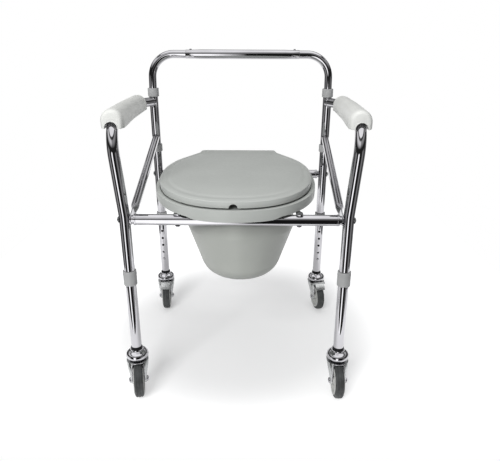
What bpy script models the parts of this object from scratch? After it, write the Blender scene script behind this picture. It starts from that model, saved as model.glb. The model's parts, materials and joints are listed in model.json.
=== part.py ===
"""Wheeled commode chair: chromed tube frame, four height-adjustable legs on swivel
casters, a moulded seat ring with a hinged lid, arm pads and a pail on rails.

Metres, +Z up, the chair faces -Y, its left side (seen from the front) is at -X.
Pieces are modelled with Y = 0 on the axes of the front legs. The last step moves the
whole chair so that its origin is on the floor under the middle of its bounding box.
"""
import math

import bmesh
import bpy
from mathutils import Matrix, Vector

# Clearances
GAP = 0.0003              # between pieces that touch or slide on each other
LOOSE = 0.0010            # between pieces that turn past each other
CUT_PAST = 0.0100         # how far a cutting shape runs past what it cuts

# Tubes
TUBE_OD = 0.0254          # legs, arms and crossbars
SLIP_OD = 0.0222          # tubes that slip inside the frame tubes
TUBE_WALL = 0.0013
TUBE_SIDES = 12
BORE_SIDES = 8            # hidden hollows of the bent tubes

# Frame layout
FRONT_SPREAD = 0.5010     # between the axes of the two front legs
REAR_SPREAD = 0.5032      # between the axes of the two rear uprights
FRAME_DEPTH = 0.4291      # front leg axis to rear upright axis, at the crossbars
CROSSBAR_Z = 0.4590
REAR_RAKE = math.radians(1.43)

# Arms
KINK_RISE = 0.0080        # above the front crossbar's axis the front legs lean outward
ARM_Z = 0.6745
ARM_FRONT_SPREAD = 0.5340
ARM_REAR_SPREAD = 0.5670
ARM_REAR_SET = 0.0711     # ahead of the rear crossbar the arms turn in to the uprights
KINK_RADIUS = 0.1200
FRONT_BEND_RADIUS = 0.0780
REAR_BEND_RADIUS = 0.1300

# Back bar
BACK_KINK_RISE = 0.0370   # above the arms' axes
BACK_RISE = 0.0920        # of the back bar's axis above the kink
BACK_RECLINE = 0.0110     # how far the top bar lies behind the kink
BACK_BEND_RADIUS = 0.0620
BACK_TUBE_LEFT = -0.1550
BACK_TUBE_RIGHT = 0.1670
BACK_INSERT = 0.0400      # how far the bends reach into the cross tube
BACK_NECK = 0.0280        # drawn-in mouths of the cross tube
BACK_TAPER = 0.0150
NUB_R = 0.0030
NUB_PROUD = 0.0020
NUB_ROOT = 0.0020         # of a nub below the outside of its tube
BACK_NECK_DEPTH = 0.0005

# Sleeves and collars on the rear uprights
SLEEVE_LENGTH = 0.1580
SLEEVE_RISE = 0.0235      # of a sleeve's top above the arm's axis
COLLAR_OD = 0.0312
COLLAR_SOFT = 0.0012
LOWER_COLLAR_BELOW = 0.0114
LOWER_COLLAR_OVER = 0.0100
UPPER_COLLAR_OVER = 0.0096
UPPER_COLLAR_ABOVE = 0.0135
BACK_TUBE_RISE = 0.0263   # of the back bends' lower ends above the rear crossbar

# Height adjustment
LEG_COLLAR_BELOW = 0.0183
LEG_COLLAR_ABOVE = 0.0178
HOLE_COUNT = 5
HOLE_PITCH = 0.0243
FIRST_HOLE = 0.0443       # below the top of the lower leg
HOLE_R = 0.0036
BUTTON_R = 0.0032
BUTTON_PROUD = 0.0020
BUTTON_TRAVEL = 0.0035
SPIGOT_BELOW = 0.0200     # of the inner tube under the lowest hole
SPIGOT_INSERT = 0.0600    # of the inner tube up inside the frame tube
SPIGOT_CLEAR = 0.0044     # between the inner tube's end and the caster's stud
SPRING_THICK = 0.0008
SPRING_WIDTH = 0.0060
SPRING_LENGTH = 0.0420
SPRING_TAIL = 0.0060      # of the leaf below the button's axis

# Crossbars, braces and their bolts
END_PLUG_R = 0.0104
END_PLUG_LENGTH = 0.0048
BRACE_OD = 0.0206
BRACE_RISE = 0.0330       # of a brace's top end above the sleeve's lower end
BRACE_TAB = 0.0028        # thickness of the flattened front end
BRACE_TAB_R = 0.0125
BRACE_TAPER = 0.0550
BOLT_R = 0.0040
BOLT_HEAD_R = 0.0078
BOLT_HEAD = 0.0042
BOLT_GRIP = 0.0120        # reach of a bolt into the crossbar's end

# Seat rails
RAIL_SPREAD = 0.2730
RAIL_SHIFT = 0.0040
RAIL_OD = 0.0100
RAIL_TAB = 0.0024
RAIL_TAB_WIDTH = 0.0160
RAIL_TAB_END = 0.0035     # of a tab past its bolt's head
RAIL_TAB_SOFT = 0.0040
RAIL_BEND = 0.0100        # from the crossbar's side to the full round rail
RAIL_BOLT_R = 0.0030
RAIL_BOLT_HEAD_R = 0.0062
RAIL_BOLT_HEAD = 0.0040

# Arm pads
PAD_R = 0.0240
PAD_SKIRT = 0.0155        # straight sides below the arm's axis
PAD_WALL = 0.0060
PAD_SOFT = 0.0080         # rounded length at each end
PAD_FRONT_Y = 0.0140
PAD_REAR_SET = 0.0020     # ahead of the arm's rear bend

# Seat and lid
SEAT_SHIFT = -0.0060
SEAT_TILT = math.radians(2.0)
RING_HALF_WIDTH = 0.1960
RING_OVERHANG = 0.0460    # ahead of the front crossbar's axis
RING_REAR_SET = 0.0061    # ahead of the rear crossbar's axis
RING_CUT = 0.0230         # of the oval that the straight rear edge takes off
RING_HEIGHT = 0.0225
RING_WALL = 0.0030
RING_EDGE = 0.0035        # drop of the ring's rounded edges
HOLE_DROP = 0.0095        # of the rim of the hole below the ring's top
HOLE_LIP = 0.0040         # of the hole's wall above the ring's underside
HOLE_HALF_WIDTH = 0.1020
HOLE_HALF_LENGTH = 0.1320
HOLE_FORWARD = 0.0400     # of the hole from the middle of the oval
OUTLINE_POWER = 2.3
LID_INSET = 0.0060
LID_REAR_SET = 0.0145     # ahead of the ring's rear edge
LID_GAP = 0.0020
LID_SKIRT = 0.0165
LID_RISE = 0.0085
LID_WALL = 0.0030
LID_EDGE = 0.0030         # rounded edge of the lid
LID_BAND = 0.0026         # rise from the lid's edge to the foot of its crown
LID_RIM_SHARE = 0.080     # shares of the way from the lid's edge to its middle
LID_CROWN_SHARE = 0.115
LID_HAUNCH_SHARE = 0.320
LID_FLAT_SHARE = 0.350    # middle of the lid that is flat
LID_HAUNCH_RISE = 0.0061
NOTCH_R = 0.0098
OUTLINE_SIDES = 32
CLIP_WALL = 0.0035
CLIP_WIDTH = 0.0220
CLIP_SPREAD = 0.1500
CLIP_ROOT = 0.0080        # of a clip in front of its ring, where it meets the seat
CLIP_MOUTH = math.radians(100.0)
HINGE_SPREAD = 0.1700
KNUCKLE_R = 0.0058
KNUCKLE_WIDTH = 0.0160
PIN_R = 0.0025
HINGE_SET = 0.0065        # of the hinge axis ahead of the ring's rear edge
HINGE_HEIGHT = 0.0075     # of the hinge axis above the ring's top
BUMPER_R = 0.0075
BUMPER_FRONT_Y = 0.0330
BUMPER_REAR_SET = 0.0741  # of the rear feet ahead of the rear crossbar's axis
LID_BUMPER_R = 0.0060
LID_FOOT_X = 0.1500
LID_FOOT_SPREAD = 0.2000  # from the front pair of lid feet to the rear pair

# Pail
PAIL_SHIFT = 0.0055
PAIL_DEPTH = 0.2050
PAIL_SIDE_CLEAR = 0.0025  # between the pail and each rail, were both centred alike
PAIL_FRONT_CLEAR = 0.0033 # between the pail and the front crossbar
PAIL_FLAT_R = 0.0503      # flat of the bottom
PAIL_TAPER = 0.0020       # from the top down to the ledge
PAIL_LIP = 0.0190         # reach of the rim past the pail's wall
PAIL_FLANGE = 0.0028
PAIL_WALL = 0.0025
PAIL_NECK = 0.0700
PAIL_CORNER_R = 0.0520
PAIL_SIDES = 24

# Casters
WHEEL_R = 0.0438
TREAD_WIDTH = 0.0255
TYRE_DEPTH = 0.0110
TYRE_SHOULDER = 0.0050
TYRE_CLEAR = 0.0026       # between a tyre and its fork
WHEEL_SIDES = 24
HUB_WIDTH = 0.0280
HUB_BOSS_R = 0.0100
WEB_WIDTH = 0.0080
HUB_RIM = 0.0035
HUB_INSET = 0.0010        # of the hub's rim and the tyre's foot from the tread's sides
AXLE_R = 0.0040
CASTER_TRAIL = 0.0224
CROWN_CLEAR = 0.0016
CROWN_R = 0.0255
FORK_PLATE = 0.0022
FORK_HALF_TOP = 0.0215
FORK_EYE_R = 0.0095
NUT_R = 0.0066
NUT_HEIGHT = 0.0052
RACE_R = 0.0195
RACE_HEIGHT = 0.0037
KINGPIN_R = 0.0042
KINGPIN_REACH = 0.0120
HOUSING_R = 0.0257
HOUSING_HEIGHT = 0.0247
HOUSING_TOP_R = 0.0150
HOUSING_LIP = 0.0028
HOUSING_BAND = 0.0042
HOUSING_SHOULDER_R = 0.0221
HOUSING_SHOULDER = 0.0153
STUD_R = 0.0050
PLUG_FLANGE_R = 0.0140
PLUG_STEM = 0.0215
PLUG_FLANGE = 0.0075
CASTER_SIDES = 14

# Brakes on the rear casters
PEDAL_PIVOT_Y = -0.0340
PEDAL_RISE = 0.0044       # of the pedal's pin over the fork's crown
PEDAL_LENGTH = 0.0245
PEDAL_SLOPE = math.radians(42.0)
PEDAL_THICK = 0.0022
PEDAL_PIN_R = 0.0022
PEDAL_EAR_R = 0.0042
PEDAL_EAR_ROOT = 0.0220   # of an ear along the crown, behind the pin
PEDAL_CURL_R = 0.0036
PEDAL_PIN_END = 0.0015
PEDAL_TAPER = 0.0012      # narrowing of the plate on each side

# How the casters stand, as turned about the leg from straight ahead
CASTER_YAW = {"front_left": 12.0, "front_right": 0.0, "rear_left": 6.0, "rear_right": 12.0}

# Derived sizes
TUBE_R = TUBE_OD / 2
SLIP_R = SLIP_OD / 2
SLIDE_BORE_R = SLIP_R + GAP
WHEEL_TIP_R = WHEEL_R / math.cos(math.pi / WHEEL_SIDES)
CROWN_Z = WHEEL_R + WHEEL_TIP_R + CROWN_CLEAR
RACE_Z = CROWN_Z + FORK_PLATE
HOUSING_Z = RACE_Z + RACE_HEIGHT + GAP
PLUG_Z = HOUSING_Z + HOUSING_HEIGHT + GAP
LEG_END_S = PLUG_Z + PLUG_FLANGE + GAP
SPIGOT_END_S = LEG_END_S + PLUG_STEM + SPIGOT_CLEAR
LOWEST_HOLE_S = SPIGOT_END_S + SPIGOT_BELOW
LEG_TRAVEL = HOLE_PITCH * (HOLE_COUNT - 1)
SPLIT_S = LOWEST_HOLE_S + LEG_TRAVEL + FIRST_HOLE      # where the two leg tubes meet
FORK_INNER = TREAD_WIDTH / 2 + TYRE_CLEAR
PEDAL_PIVOT_Z = RACE_Z + PEDAL_RISE
RAIL_TOP_Z = CROSSBAR_Z + TUBE_R + GAP + RAIL_TAB
SEAT_Z = RAIL_TOP_Z + GAP
HINGE_Z = RING_HEIGHT + HINGE_HEIGHT

KINK_Z = CROSSBAR_Z + KINK_RISE
ARM_REAR_Y = FRAME_DEPTH - ARM_REAR_SET
PAD_REAR_Y = ARM_REAR_Y - PAD_REAR_SET
BACK_KINK_Z = ARM_Z + BACK_KINK_RISE
BACK_TOP_Z = BACK_KINK_Z + BACK_RISE
SLEEVE_TOP_S = ARM_Z + SLEEVE_RISE
SLEEVE_BOTTOM_S = SLEEVE_TOP_S - SLEEVE_LENGTH
LOWER_COLLAR = (SLEEVE_BOTTOM_S - LOWER_COLLAR_BELOW, SLEEVE_BOTTOM_S + LOWER_COLLAR_OVER)
UPPER_COLLAR = (SLEEVE_TOP_S - UPPER_COLLAR_OVER, SLEEVE_TOP_S + UPPER_COLLAR_ABOVE)
LEG_COLLAR = (SPLIT_S - LEG_COLLAR_BELOW, SPLIT_S + LEG_COLLAR_ABOVE)
BRACE_TOP_S = SLEEVE_BOTTOM_S + BRACE_RISE
RING_REAR_Y = FRAME_DEPTH - RING_REAR_SET
RING_HALF_LENGTH = (RING_REAR_Y + RING_CUT + RING_OVERHANG) / 2
SEAT_CENTRE_Y = RING_HALF_LENGTH - RING_OVERHANG
HOLE_CENTRE_Y = SEAT_CENTRE_Y - HOLE_FORWARD
LID_REAR_Y = RING_REAR_Y - LID_REAR_SET
HINGE_Y = RING_REAR_Y - HINGE_SET
BUMPER_REAR_Y = FRAME_DEPTH - BUMPER_REAR_SET
LID_FOOT_Y = (SEAT_CENTRE_Y - LID_FOOT_SPREAD / 2, SEAT_CENTRE_Y + LID_FOOT_SPREAD / 2)
PAIL_TOP_R = (RAIL_SPREAD - RAIL_OD) / 2 - PAIL_SIDE_CLEAR
PAIL_FLANGE_R = PAIL_TOP_R + PAIL_LIP
PAIL_Y = TUBE_R + PAIL_FRONT_CLEAR + PAIL_TOP_R

SIDES = {"left": -1, "right": 1}
ARC_STEP = 15.0           # degrees of turn for each facet along a bend


def clear_scene():
    """Remove every object that is in the file."""
    for item in list(bpy.data.objects):
        bpy.data.objects.remove(item, do_unlink=True)


def make_material(name, colour, roughness, metallic):
    """Plain surface of one colour."""
    material = bpy.data.materials.get(name) or bpy.data.materials.new(name)
    material.use_nodes = True
    shader = material.node_tree.nodes["Principled BSDF"]
    shader.inputs["Base Color"].default_value = (*colour, 1.0)
    shader.inputs["Roughness"].default_value = roughness
    shader.inputs["Metallic"].default_value = metallic
    material.diffuse_color = (*colour, 1.0)
    return material


def chrome():
    return make_material("chrome", (0.62, 0.63, 0.65), 0.12, 1.0)


def grey_plastic():
    return make_material("grey_plastic", (0.42, 0.44, 0.42), 0.45, 0.0)


def seat_plastic():
    return make_material("seat_plastic", (0.52, 0.54, 0.51), 0.40, 0.0)


def pad_plastic():
    return make_material("pad_plastic", (0.70, 0.71, 0.68), 0.50, 0.0)


def dark_rubber():
    return make_material("dark_rubber", (0.05, 0.055, 0.055), 0.70, 0.0)


def black_plastic():
    return make_material("black_plastic", (0.012, 0.012, 0.014), 0.40, 0.0)


# Shapes

def filleted(corners, radii):
    """Points along straight runs whose inner corners are rounded to the given radii."""
    path = [corners[0]]
    for before, corner, after, radius in zip(corners, corners[1:], corners[2:], radii):
        into = (corner - before).normalized()
        out = (after - corner).normalized()
        turn = into.angle(out)
        axis = into.cross(out).normalized()
        start = corner - into * radius * math.tan(turn / 2)
        centre = start + axis.cross(into) * radius
        steps = max(2, round(math.degrees(turn) / ARC_STEP))
        for step in range(steps + 1):
            spin = Matrix.Rotation(turn * step / steps, 3, axis)
            path.append(centre + spin @ (start - centre))
    path.append(corners[-1])
    return path


def path_frames(path, hint):
    """A matrix for each point, its Z along the path, carried on without twist."""
    frames = []
    across = hint.normalized()
    for index, point in enumerate(path):
        ahead = path[min(index + 1, len(path) - 1)] - point
        behind = point - path[max(index - 1, 0)]
        along = (ahead.normalized() + behind.normalized()).normalized()
        across = (across - along * across.dot(along)).normalized()
        over = along.cross(across)
        frame = Matrix((across, over, along)).transposed().to_4x4()
        frame.translation = point
        frames.append(frame)
    return frames


def skin(rings, closed=False):
    """Mesh through rings of points, each ring the same length, with capped ends."""
    shape = bmesh.new()
    rows = [[shape.verts.new(point) for point in ring] for ring in rings]
    count = len(rows[0])
    pairs = list(zip(rows, rows[1:]))
    if closed:
        pairs.append((rows[-1], rows[0]))
    else:
        shape.faces.new(list(reversed(rows[0])))
        shape.faces.new(rows[-1])
    for low, high in pairs:
        for index in range(count):
            following = (index + 1) % count
            shape.faces.new((low[index], low[following], high[following], high[index]))
    bmesh.ops.recalc_face_normals(shape, faces=shape.faces)
    return shape


def circle(radius, sides, phase=0.0):
    """Flat ring of points about Z."""
    turns = [2 * math.pi * (index + phase) / sides for index in range(sides)]
    return [Vector((radius * math.cos(turn), radius * math.sin(turn), 0)) for turn in turns]


def rod(path, radii, sides=TUBE_SIDES, hint=Vector((1, 0, 0))):
    """Round bar along a path. radii is one radius, or one for each point."""
    if not isinstance(radii, (list, tuple)):
        radii = [radii] * len(path)
    rings = []
    for frame, radius in zip(path_frames(path, hint), radii):
        rings.append([frame @ point for point in circle(radius, sides, 0.5)])
    return skin(rings)


def turned(profile, sides, phase=0.0):
    """Solid of revolution about Z through (radius, height) points.

    The profile is a closed loop. Radius 0 is a point on the axis, where it needs no wall.
    """
    shape = bmesh.new()
    rows = []
    for radius, height in profile:
        if radius == 0:
            rows.append([shape.verts.new((0, 0, height))])
        else:
            rows.append([shape.verts.new(point + Vector((0, 0, height)))
                         for point in circle(radius, sides, phase)])
    for low, high in zip(rows, rows[1:] + rows[:1]):
        if len(low) + len(high) == 2:
            continue
        for index in range(sides):
            following = (index + 1) % sides
            corners = [low[index % len(low)], low[following % len(low)],
                       high[following % len(high)], high[index % len(high)]]
            shape.faces.new(list(dict.fromkeys(corners)))
    bmesh.ops.recalc_face_normals(shape, faces=shape.faces)
    return shape


def cylinder(start, end, radius, sides=TUBE_SIDES):
    """Round bar between two points."""
    start, end = Vector(start), Vector(end)
    hint = Vector((0, 0, 1)) if abs((end - start).normalized().z) < 0.9 else Vector((1, 0, 0))
    return rod([start, end], radius, sides, hint)


def moved(shape, matrix):
    shape.transform(matrix)
    return shape


def run_past(path):
    """The same path, run on straight past both its ends."""
    first = (path[0] - path[1]).normalized() * CUT_PAST
    last = (path[-1] - path[-2]).normalized() * CUT_PAST
    return [path[0] + first] + path[1:-1] + [path[-1] + last]


def along_x(shape, y, z):
    """Lay a shape that stands on Z along X instead."""
    return moved(shape, Matrix.Translation((0, y, z)) @ Matrix.Rotation(math.pi / 2, 4, "Y"))


def arc_points(centre, radius, first, last, steps):
    """Points (a, b) along an arc, angles in degrees."""
    points = []
    for step in range(steps + 1):
        turn = math.radians(first + (last - first) * step / steps)
        points.append((centre[0] + radius * math.cos(turn), centre[1] + radius * math.sin(turn)))
    return points


# Objects

def new_object(name, shape):
    """Object that holds a mesh; the mesh data is freed from its editor."""
    mesh = bpy.data.meshes.new(name)
    bmesh.ops.recalc_face_normals(shape, faces=shape.faces)
    if shape.calc_volume(signed=True) < 0:
        bmesh.ops.reverse_faces(shape, faces=shape.faces)
    shape.to_mesh(mesh)
    shape.free()
    item = bpy.data.objects.new(name, mesh)
    bpy.context.scene.collection.objects.link(item)
    return item


def tidy(mesh):
    """Split the many-cornered faces that a cut leaves, so that the next cut finds them simple."""
    shape = bmesh.new()
    shape.from_mesh(mesh)
    bmesh.ops.remove_doubles(shape, verts=shape.verts, dist=0.000001)
    bmesh.ops.triangulate(shape, faces=[face for face in shape.faces if len(face.verts) > 4])
    shape.to_mesh(mesh)
    shape.free()


def combine(item, shape, operation):
    """Union or cut of an object with another shape."""
    tool = new_object("tool", shape)
    modifier = item.modifiers.new(operation.lower(), "BOOLEAN")
    modifier.operation = operation
    modifier.solver = "EXACT"
    modifier.object = tool
    graph = bpy.context.evaluated_depsgraph_get()
    mesh = bpy.data.meshes.new_from_object(item.evaluated_get(graph))
    item.modifiers.remove(modifier)
    tidy(mesh)
    plain = item.data
    item.data = mesh
    bpy.data.meshes.remove(plain)
    bpy.data.objects.remove(tool, do_unlink=True)


def cut(item, shape):
    combine(item, shape, "DIFFERENCE")


def fuse(item, shape):
    combine(item, shape, "UNION")


def make_body(name, parent, matrix):
    """Empty on a joint's axis that carries the pieces which move together."""
    body = bpy.data.objects.new(name, None)
    body.empty_display_size = 0.02
    bpy.context.scene.collection.objects.link(body)
    body.parent = parent
    bpy.context.view_layer.update()
    body.matrix_world = matrix
    bpy.context.view_layer.update()
    return body


def join_flats(mesh):
    """Join the slivers of one flat face that cuts have left."""
    shape = bmesh.new()
    shape.from_mesh(mesh)
    bmesh.ops.dissolve_limit(shape, angle_limit=math.radians(0.2), verts=shape.verts, edges=shape.edges)
    bmesh.ops.triangulate(shape, faces=[face for face in shape.faces if len(face.verts) > 4])
    shape.to_mesh(mesh)
    shape.free()


def place(item, body, material):
    """Shade a finished piece and hang it on its body."""
    join_flats(item.data)
    item.data.materials.clear()
    item.data.materials.append(material)
    item.data.shade_smooth()
    item.data.set_sharp_from_angle(angle=math.radians(35))
    item.data.transform(body.matrix_world.inverted())
    item.parent = body
    item.data.name = item.name
    return item


# Legs and their axes

def leg_frame(corner):
    """Frame of a leg: Z up along the leg, its origin at the foot of the axis."""
    end, side = corner.split("_")
    sign = SIDES[side]
    if end == "front":
        return Matrix.Translation((sign * FRONT_SPREAD / 2, 0, 0))
    yaw = math.radians(CASTER_YAW[corner])
    lift = CASTER_TRAIL * math.cos(yaw) * math.sin(REAR_RAKE)
    lift += WHEEL_R * (1 - math.cos(REAR_RAKE))
    foot_y = FRAME_DEPTH + math.tan(REAR_RAKE) * (CROSSBAR_Z - lift)
    place_at = Matrix.Translation((sign * REAR_SPREAD / 2, foot_y, lift))
    return place_at @ Matrix.Rotation(REAR_RAKE, 4, "X")


def along(corner, height):
    """Point on a leg's axis, at a height measured along the leg."""
    return leg_frame(corner) @ Vector((0, 0, height))


def at_height(corner, z):
    """Point on a leg's axis at a true height above the floor."""
    foot = along(corner, 0)
    up = along(corner, 1) - foot
    return foot + up * ((z - foot.z) / up.z)


def button_side(corner):
    """Direction, in the leg's frame, in which the snap button points."""
    return 1 if corner.startswith("front") else -1


def button_hole(corner, height):
    """Space of a round hole in a leg, on the button's side."""
    facing = button_side(corner)
    inner, outer = facing * SLIP_R / 2, facing * (TUBE_R + CUT_PAST)
    return moved(cylinder((0, inner, height), (0, outer, height), HOLE_R, 8), leg_frame(corner))


def bore(corner, low, high, radius):
    """Round hole along a leg."""
    return moved(cylinder((0, 0, low), (0, 0, high), radius), leg_frame(corner))


def leg_x(end):
    """Sideways distance of a leg's axis from the middle."""
    return (FRONT_SPREAD if end == "front" else REAR_SPREAD) / 2


def bolt_bore(end, sign):
    """Hole through a leg for the crossbar's bolt."""
    y = 0 if end == "front" else FRAME_DEPTH
    half = TUBE_R + CUT_PAST
    return cylinder((sign * (leg_x(end) - half), y, CROSSBAR_Z),
                    (sign * (leg_x(end) + half), y, CROSSBAR_Z), BOLT_R + GAP)


def arm_corners(sign):
    """Centre line of a side tube, from the front leg to the rear upright."""
    rear = at_height("rear_right", ARM_Z)
    return [along("front_right", SPLIT_S),
            at_height("front_right", KINK_Z),
            Vector((ARM_FRONT_SPREAD / 2, 0, ARM_Z)),
            Vector((ARM_REAR_SPREAD / 2, ARM_REAR_Y, ARM_Z)),
            Vector((rear.x, rear.y, ARM_Z))]


def arm_path():
    """Centre line of the right side tube with its bends."""
    return filleted(arm_corners(1), [KINK_RADIUS, FRONT_BEND_RADIUS, REAR_BEND_RADIUS])


def mirrored(points, sign):
    return [Vector((sign * point.x, point.y, point.z)) for point in points]


def arm_hollow():
    """Centre line of the hollow in the right side tube, up to the sleeve's wall."""
    path = arm_path()
    path[0] = along("front_right", SPLIT_S + SPIGOT_INSERT)
    path[-1] -= (path[-1] - path[-2]).normalized() * (TUBE_R + GAP)
    return path


def make_side_frame(side, body):
    """Front leg, arm and rear sleeve, welded into one hollow piece."""
    sign = SIDES[side]
    front, rear = "front_" + side, "rear_" + side
    item = new_object(side + "_side_frame", rod(mirrored(arm_path(), sign), TUBE_R))
    fuse(item, bore(rear, SLEEVE_BOTTOM_S, SLEEVE_TOP_S, TUBE_R))
    fuse(item, bore(front, SPIGOT_END_S, SPLIT_S + SPIGOT_INSERT, SLIP_R))
    cut(item, bore(rear, SLEEVE_BOTTOM_S - CUT_PAST, SLEEVE_TOP_S + CUT_PAST, SLIDE_BORE_R))
    cut(item, rod(mirrored(arm_hollow(), sign), TUBE_R - TUBE_WALL, BORE_SIDES))
    cut(item, bore(front, SPIGOT_END_S - CUT_PAST, SPLIT_S + SPIGOT_INSERT + GAP, SLIP_R - TUBE_WALL))
    cut(item, button_hole(front, LOWEST_HOLE_S))
    cut(item, bolt_bore("front", sign))
    return place(item, body, chrome())


def make_rear_upright(side, body):
    """Rear leg tube up to the sleeve, with the inner tube that carries the sliding leg."""
    corner = "rear_" + side
    narrow, insert_top, top = SLIP_R - TUBE_WALL, SPLIT_S + SPIGOT_INSERT, SLEEVE_BOTTOM_S - GAP
    profile = [(narrow, SPIGOT_END_S), (SLIP_R, SPIGOT_END_S), (SLIP_R, SPLIT_S), (TUBE_R, SPLIT_S),
               (TUBE_R, top), (SLIDE_BORE_R, top), (SLIDE_BORE_R, insert_top), (narrow, insert_top)]
    item = new_object(side + "_rear_upright", moved(turned(profile, TUBE_SIDES, 0.5), leg_frame(corner)))
    cut(item, button_hole(corner, LOWEST_HOLE_S))
    cut(item, bolt_bore("rear", SIDES[side]))
    return place(item, body, chrome())


def back_corners(sign, end_x):
    """Centre line of one back bend."""
    corner = "rear_right"
    low = at_height(corner, CROSSBAR_Z + BACK_TUBE_RISE)
    kink = at_height(corner, BACK_KINK_Z)
    top_y = kink.y + BACK_RECLINE
    high = Vector((kink.x, top_y, BACK_TOP_Z))
    end = Vector((end_x * sign, top_y, BACK_TOP_Z))
    return [low, kink, high, end]


def nub_x(sign):
    """Where a bend's locking nub comes through the cross tube."""
    if sign < 0:
        return BACK_TUBE_LEFT + BACK_NECK / 2
    return BACK_TUBE_RIGHT - BACK_NECK / 2


def make_back_bend(side, body):
    """Bent tube from inside the rear leg up and round to the middle of the back bar."""
    sign = SIDES[side]
    mouth = BACK_TUBE_LEFT if sign < 0 else BACK_TUBE_RIGHT
    corners = back_corners(sign, mouth - sign * BACK_INSERT)
    path = filleted(corners, [BACK_BEND_RADIUS, BACK_BEND_RADIUS])
    item = new_object("back_%s_bend" % side, rod(mirrored(path, sign), SLIP_R))
    cut(item, rod(run_past(mirrored(path, sign)), SLIP_R - TUBE_WALL, BORE_SIDES))
    top = corners[-1]
    low, high = SLIP_R - NUB_ROOT, TUBE_R + NUB_PROUD
    profile = [(0, low), (NUB_R, low), (NUB_R, high - NUB_R * 0.4), (NUB_R * 0.7, high - NUB_R * 0.1),
               (0, high)]
    fuse(item, moved(turned(profile, 8), Matrix.Translation((nub_x(sign), top.y, top.z))))
    return place(item, body, chrome())


def make_back_cross_tube(body):
    """Middle of the back bar, with drawn-in mouths over the two bends."""
    top = back_corners(1, 0)[-1]
    wide, necked = TUBE_R, TUBE_R - BACK_NECK_DEPTH
    left, right, neck = BACK_TUBE_LEFT, BACK_TUBE_RIGHT, BACK_NECK
    profile = [(SLIDE_BORE_R, left), (necked, left), (necked, left + neck), (wide, left + neck + BACK_TAPER),
               (wide, right - neck - BACK_TAPER), (necked, right - neck), (necked, right),
               (SLIDE_BORE_R, right)]
    item = new_object("back_cross_tube", along_x(turned(profile, TUBE_SIDES, 0.5), top.y, top.z))
    for sign in SIDES.values():
        x = nub_x(sign)
        cut(item, cylinder((x, top.y, top.z), (x, top.y, top.z + TUBE_R + CUT_PAST), HOLE_R, 8))
    return place(item, body, chrome())


def collar_profile(low, high, bore_low, bore_high, step):
    """Ring with softened edges whose bore may change at a step."""
    outer, soft = COLLAR_OD / 2, COLLAR_SOFT
    points = [(bore_low, low), (outer - soft, low), (outer, low + soft),
              (outer, high - soft), (outer - soft, high), (bore_high, high)]
    if bore_low != bore_high:
        points += [(bore_high, step), (bore_low, step)]
    return points


def make_upright_collars(side, body):
    """Plastic collars at both ends of a sleeve."""
    frame = leg_frame("rear_" + side)
    plain = TUBE_R + GAP
    lower = collar_profile(*LOWER_COLLAR, plain, plain, 0)
    upper = collar_profile(*UPPER_COLLAR, plain, SLIDE_BORE_R, SLEEVE_TOP_S + GAP)
    for level, profile in (("lower", lower), ("upper", upper)):
        ring = moved(turned(profile, TUBE_SIDES, 0.5), frame)
        place(new_object("%s_%s_collar" % (side, level), ring), body, grey_plastic())


# Crossbars, braces and rails

def crossbar_reach(end):
    """Half length of a crossbar's plug ends: up to the brace tab or the upright."""
    tab = BRACE_TAB + GAP if end == "front" else 0
    return leg_x(end) - TUBE_R - tab - GAP


def make_crossbar(end, body):
    """Straight tube between two legs, with a stepped plug in each end."""
    y = 0 if end == "front" else FRAME_DEPTH
    reach = crossbar_reach(end)
    tube, plug = reach - END_PLUG_LENGTH, reach - BOLT_GRIP - LOOSE
    half = [(TUBE_R - TUBE_WALL, plug), (BOLT_R + GAP, plug), (BOLT_R + GAP, reach),
            (END_PLUG_R, reach), (END_PLUG_R, tube), (TUBE_R, tube)]
    profile = half + [(radius, -x) for radius, x in reversed(half)]
    item = new_object(end + "_crossbar", along_x(turned(profile, TUBE_SIDES, 0.5), y, CROSSBAR_Z))
    past = TUBE_R + CUT_PAST
    for x in rail_places():
        cut(item, cylinder((x, y, CROSSBAR_Z - past), (x, y, CROSSBAR_Z + past), RAIL_BOLT_R + GAP, 8))
    return place(item, body, chrome())


def make_crossbar_bolt(end, side, body):
    """Domed bolt through a leg into the end of a crossbar."""
    y = 0 if end == "front" else FRAME_DEPTH
    head = leg_x(end) + TUBE_R + GAP
    tip = crossbar_reach(end) - BOLT_GRIP
    profile = [(0, tip), (BOLT_R, tip), (BOLT_R, head), (BOLT_HEAD_R, head),
               (BOLT_HEAD_R, head + BOLT_HEAD * 0.3), (BOLT_HEAD_R * 0.8, head + BOLT_HEAD * 0.75),
               (0, head + BOLT_HEAD)]
    turn = Matrix.Rotation(SIDES[side] * math.pi / 2, 4, "Y")
    bolt = moved(turned(profile, 10), Matrix.Translation((0, y, CROSSBAR_Z)) @ turn)
    return place(new_object("%s_%s_crossbar_bolt" % (end, side), bolt), body, chrome())


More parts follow.
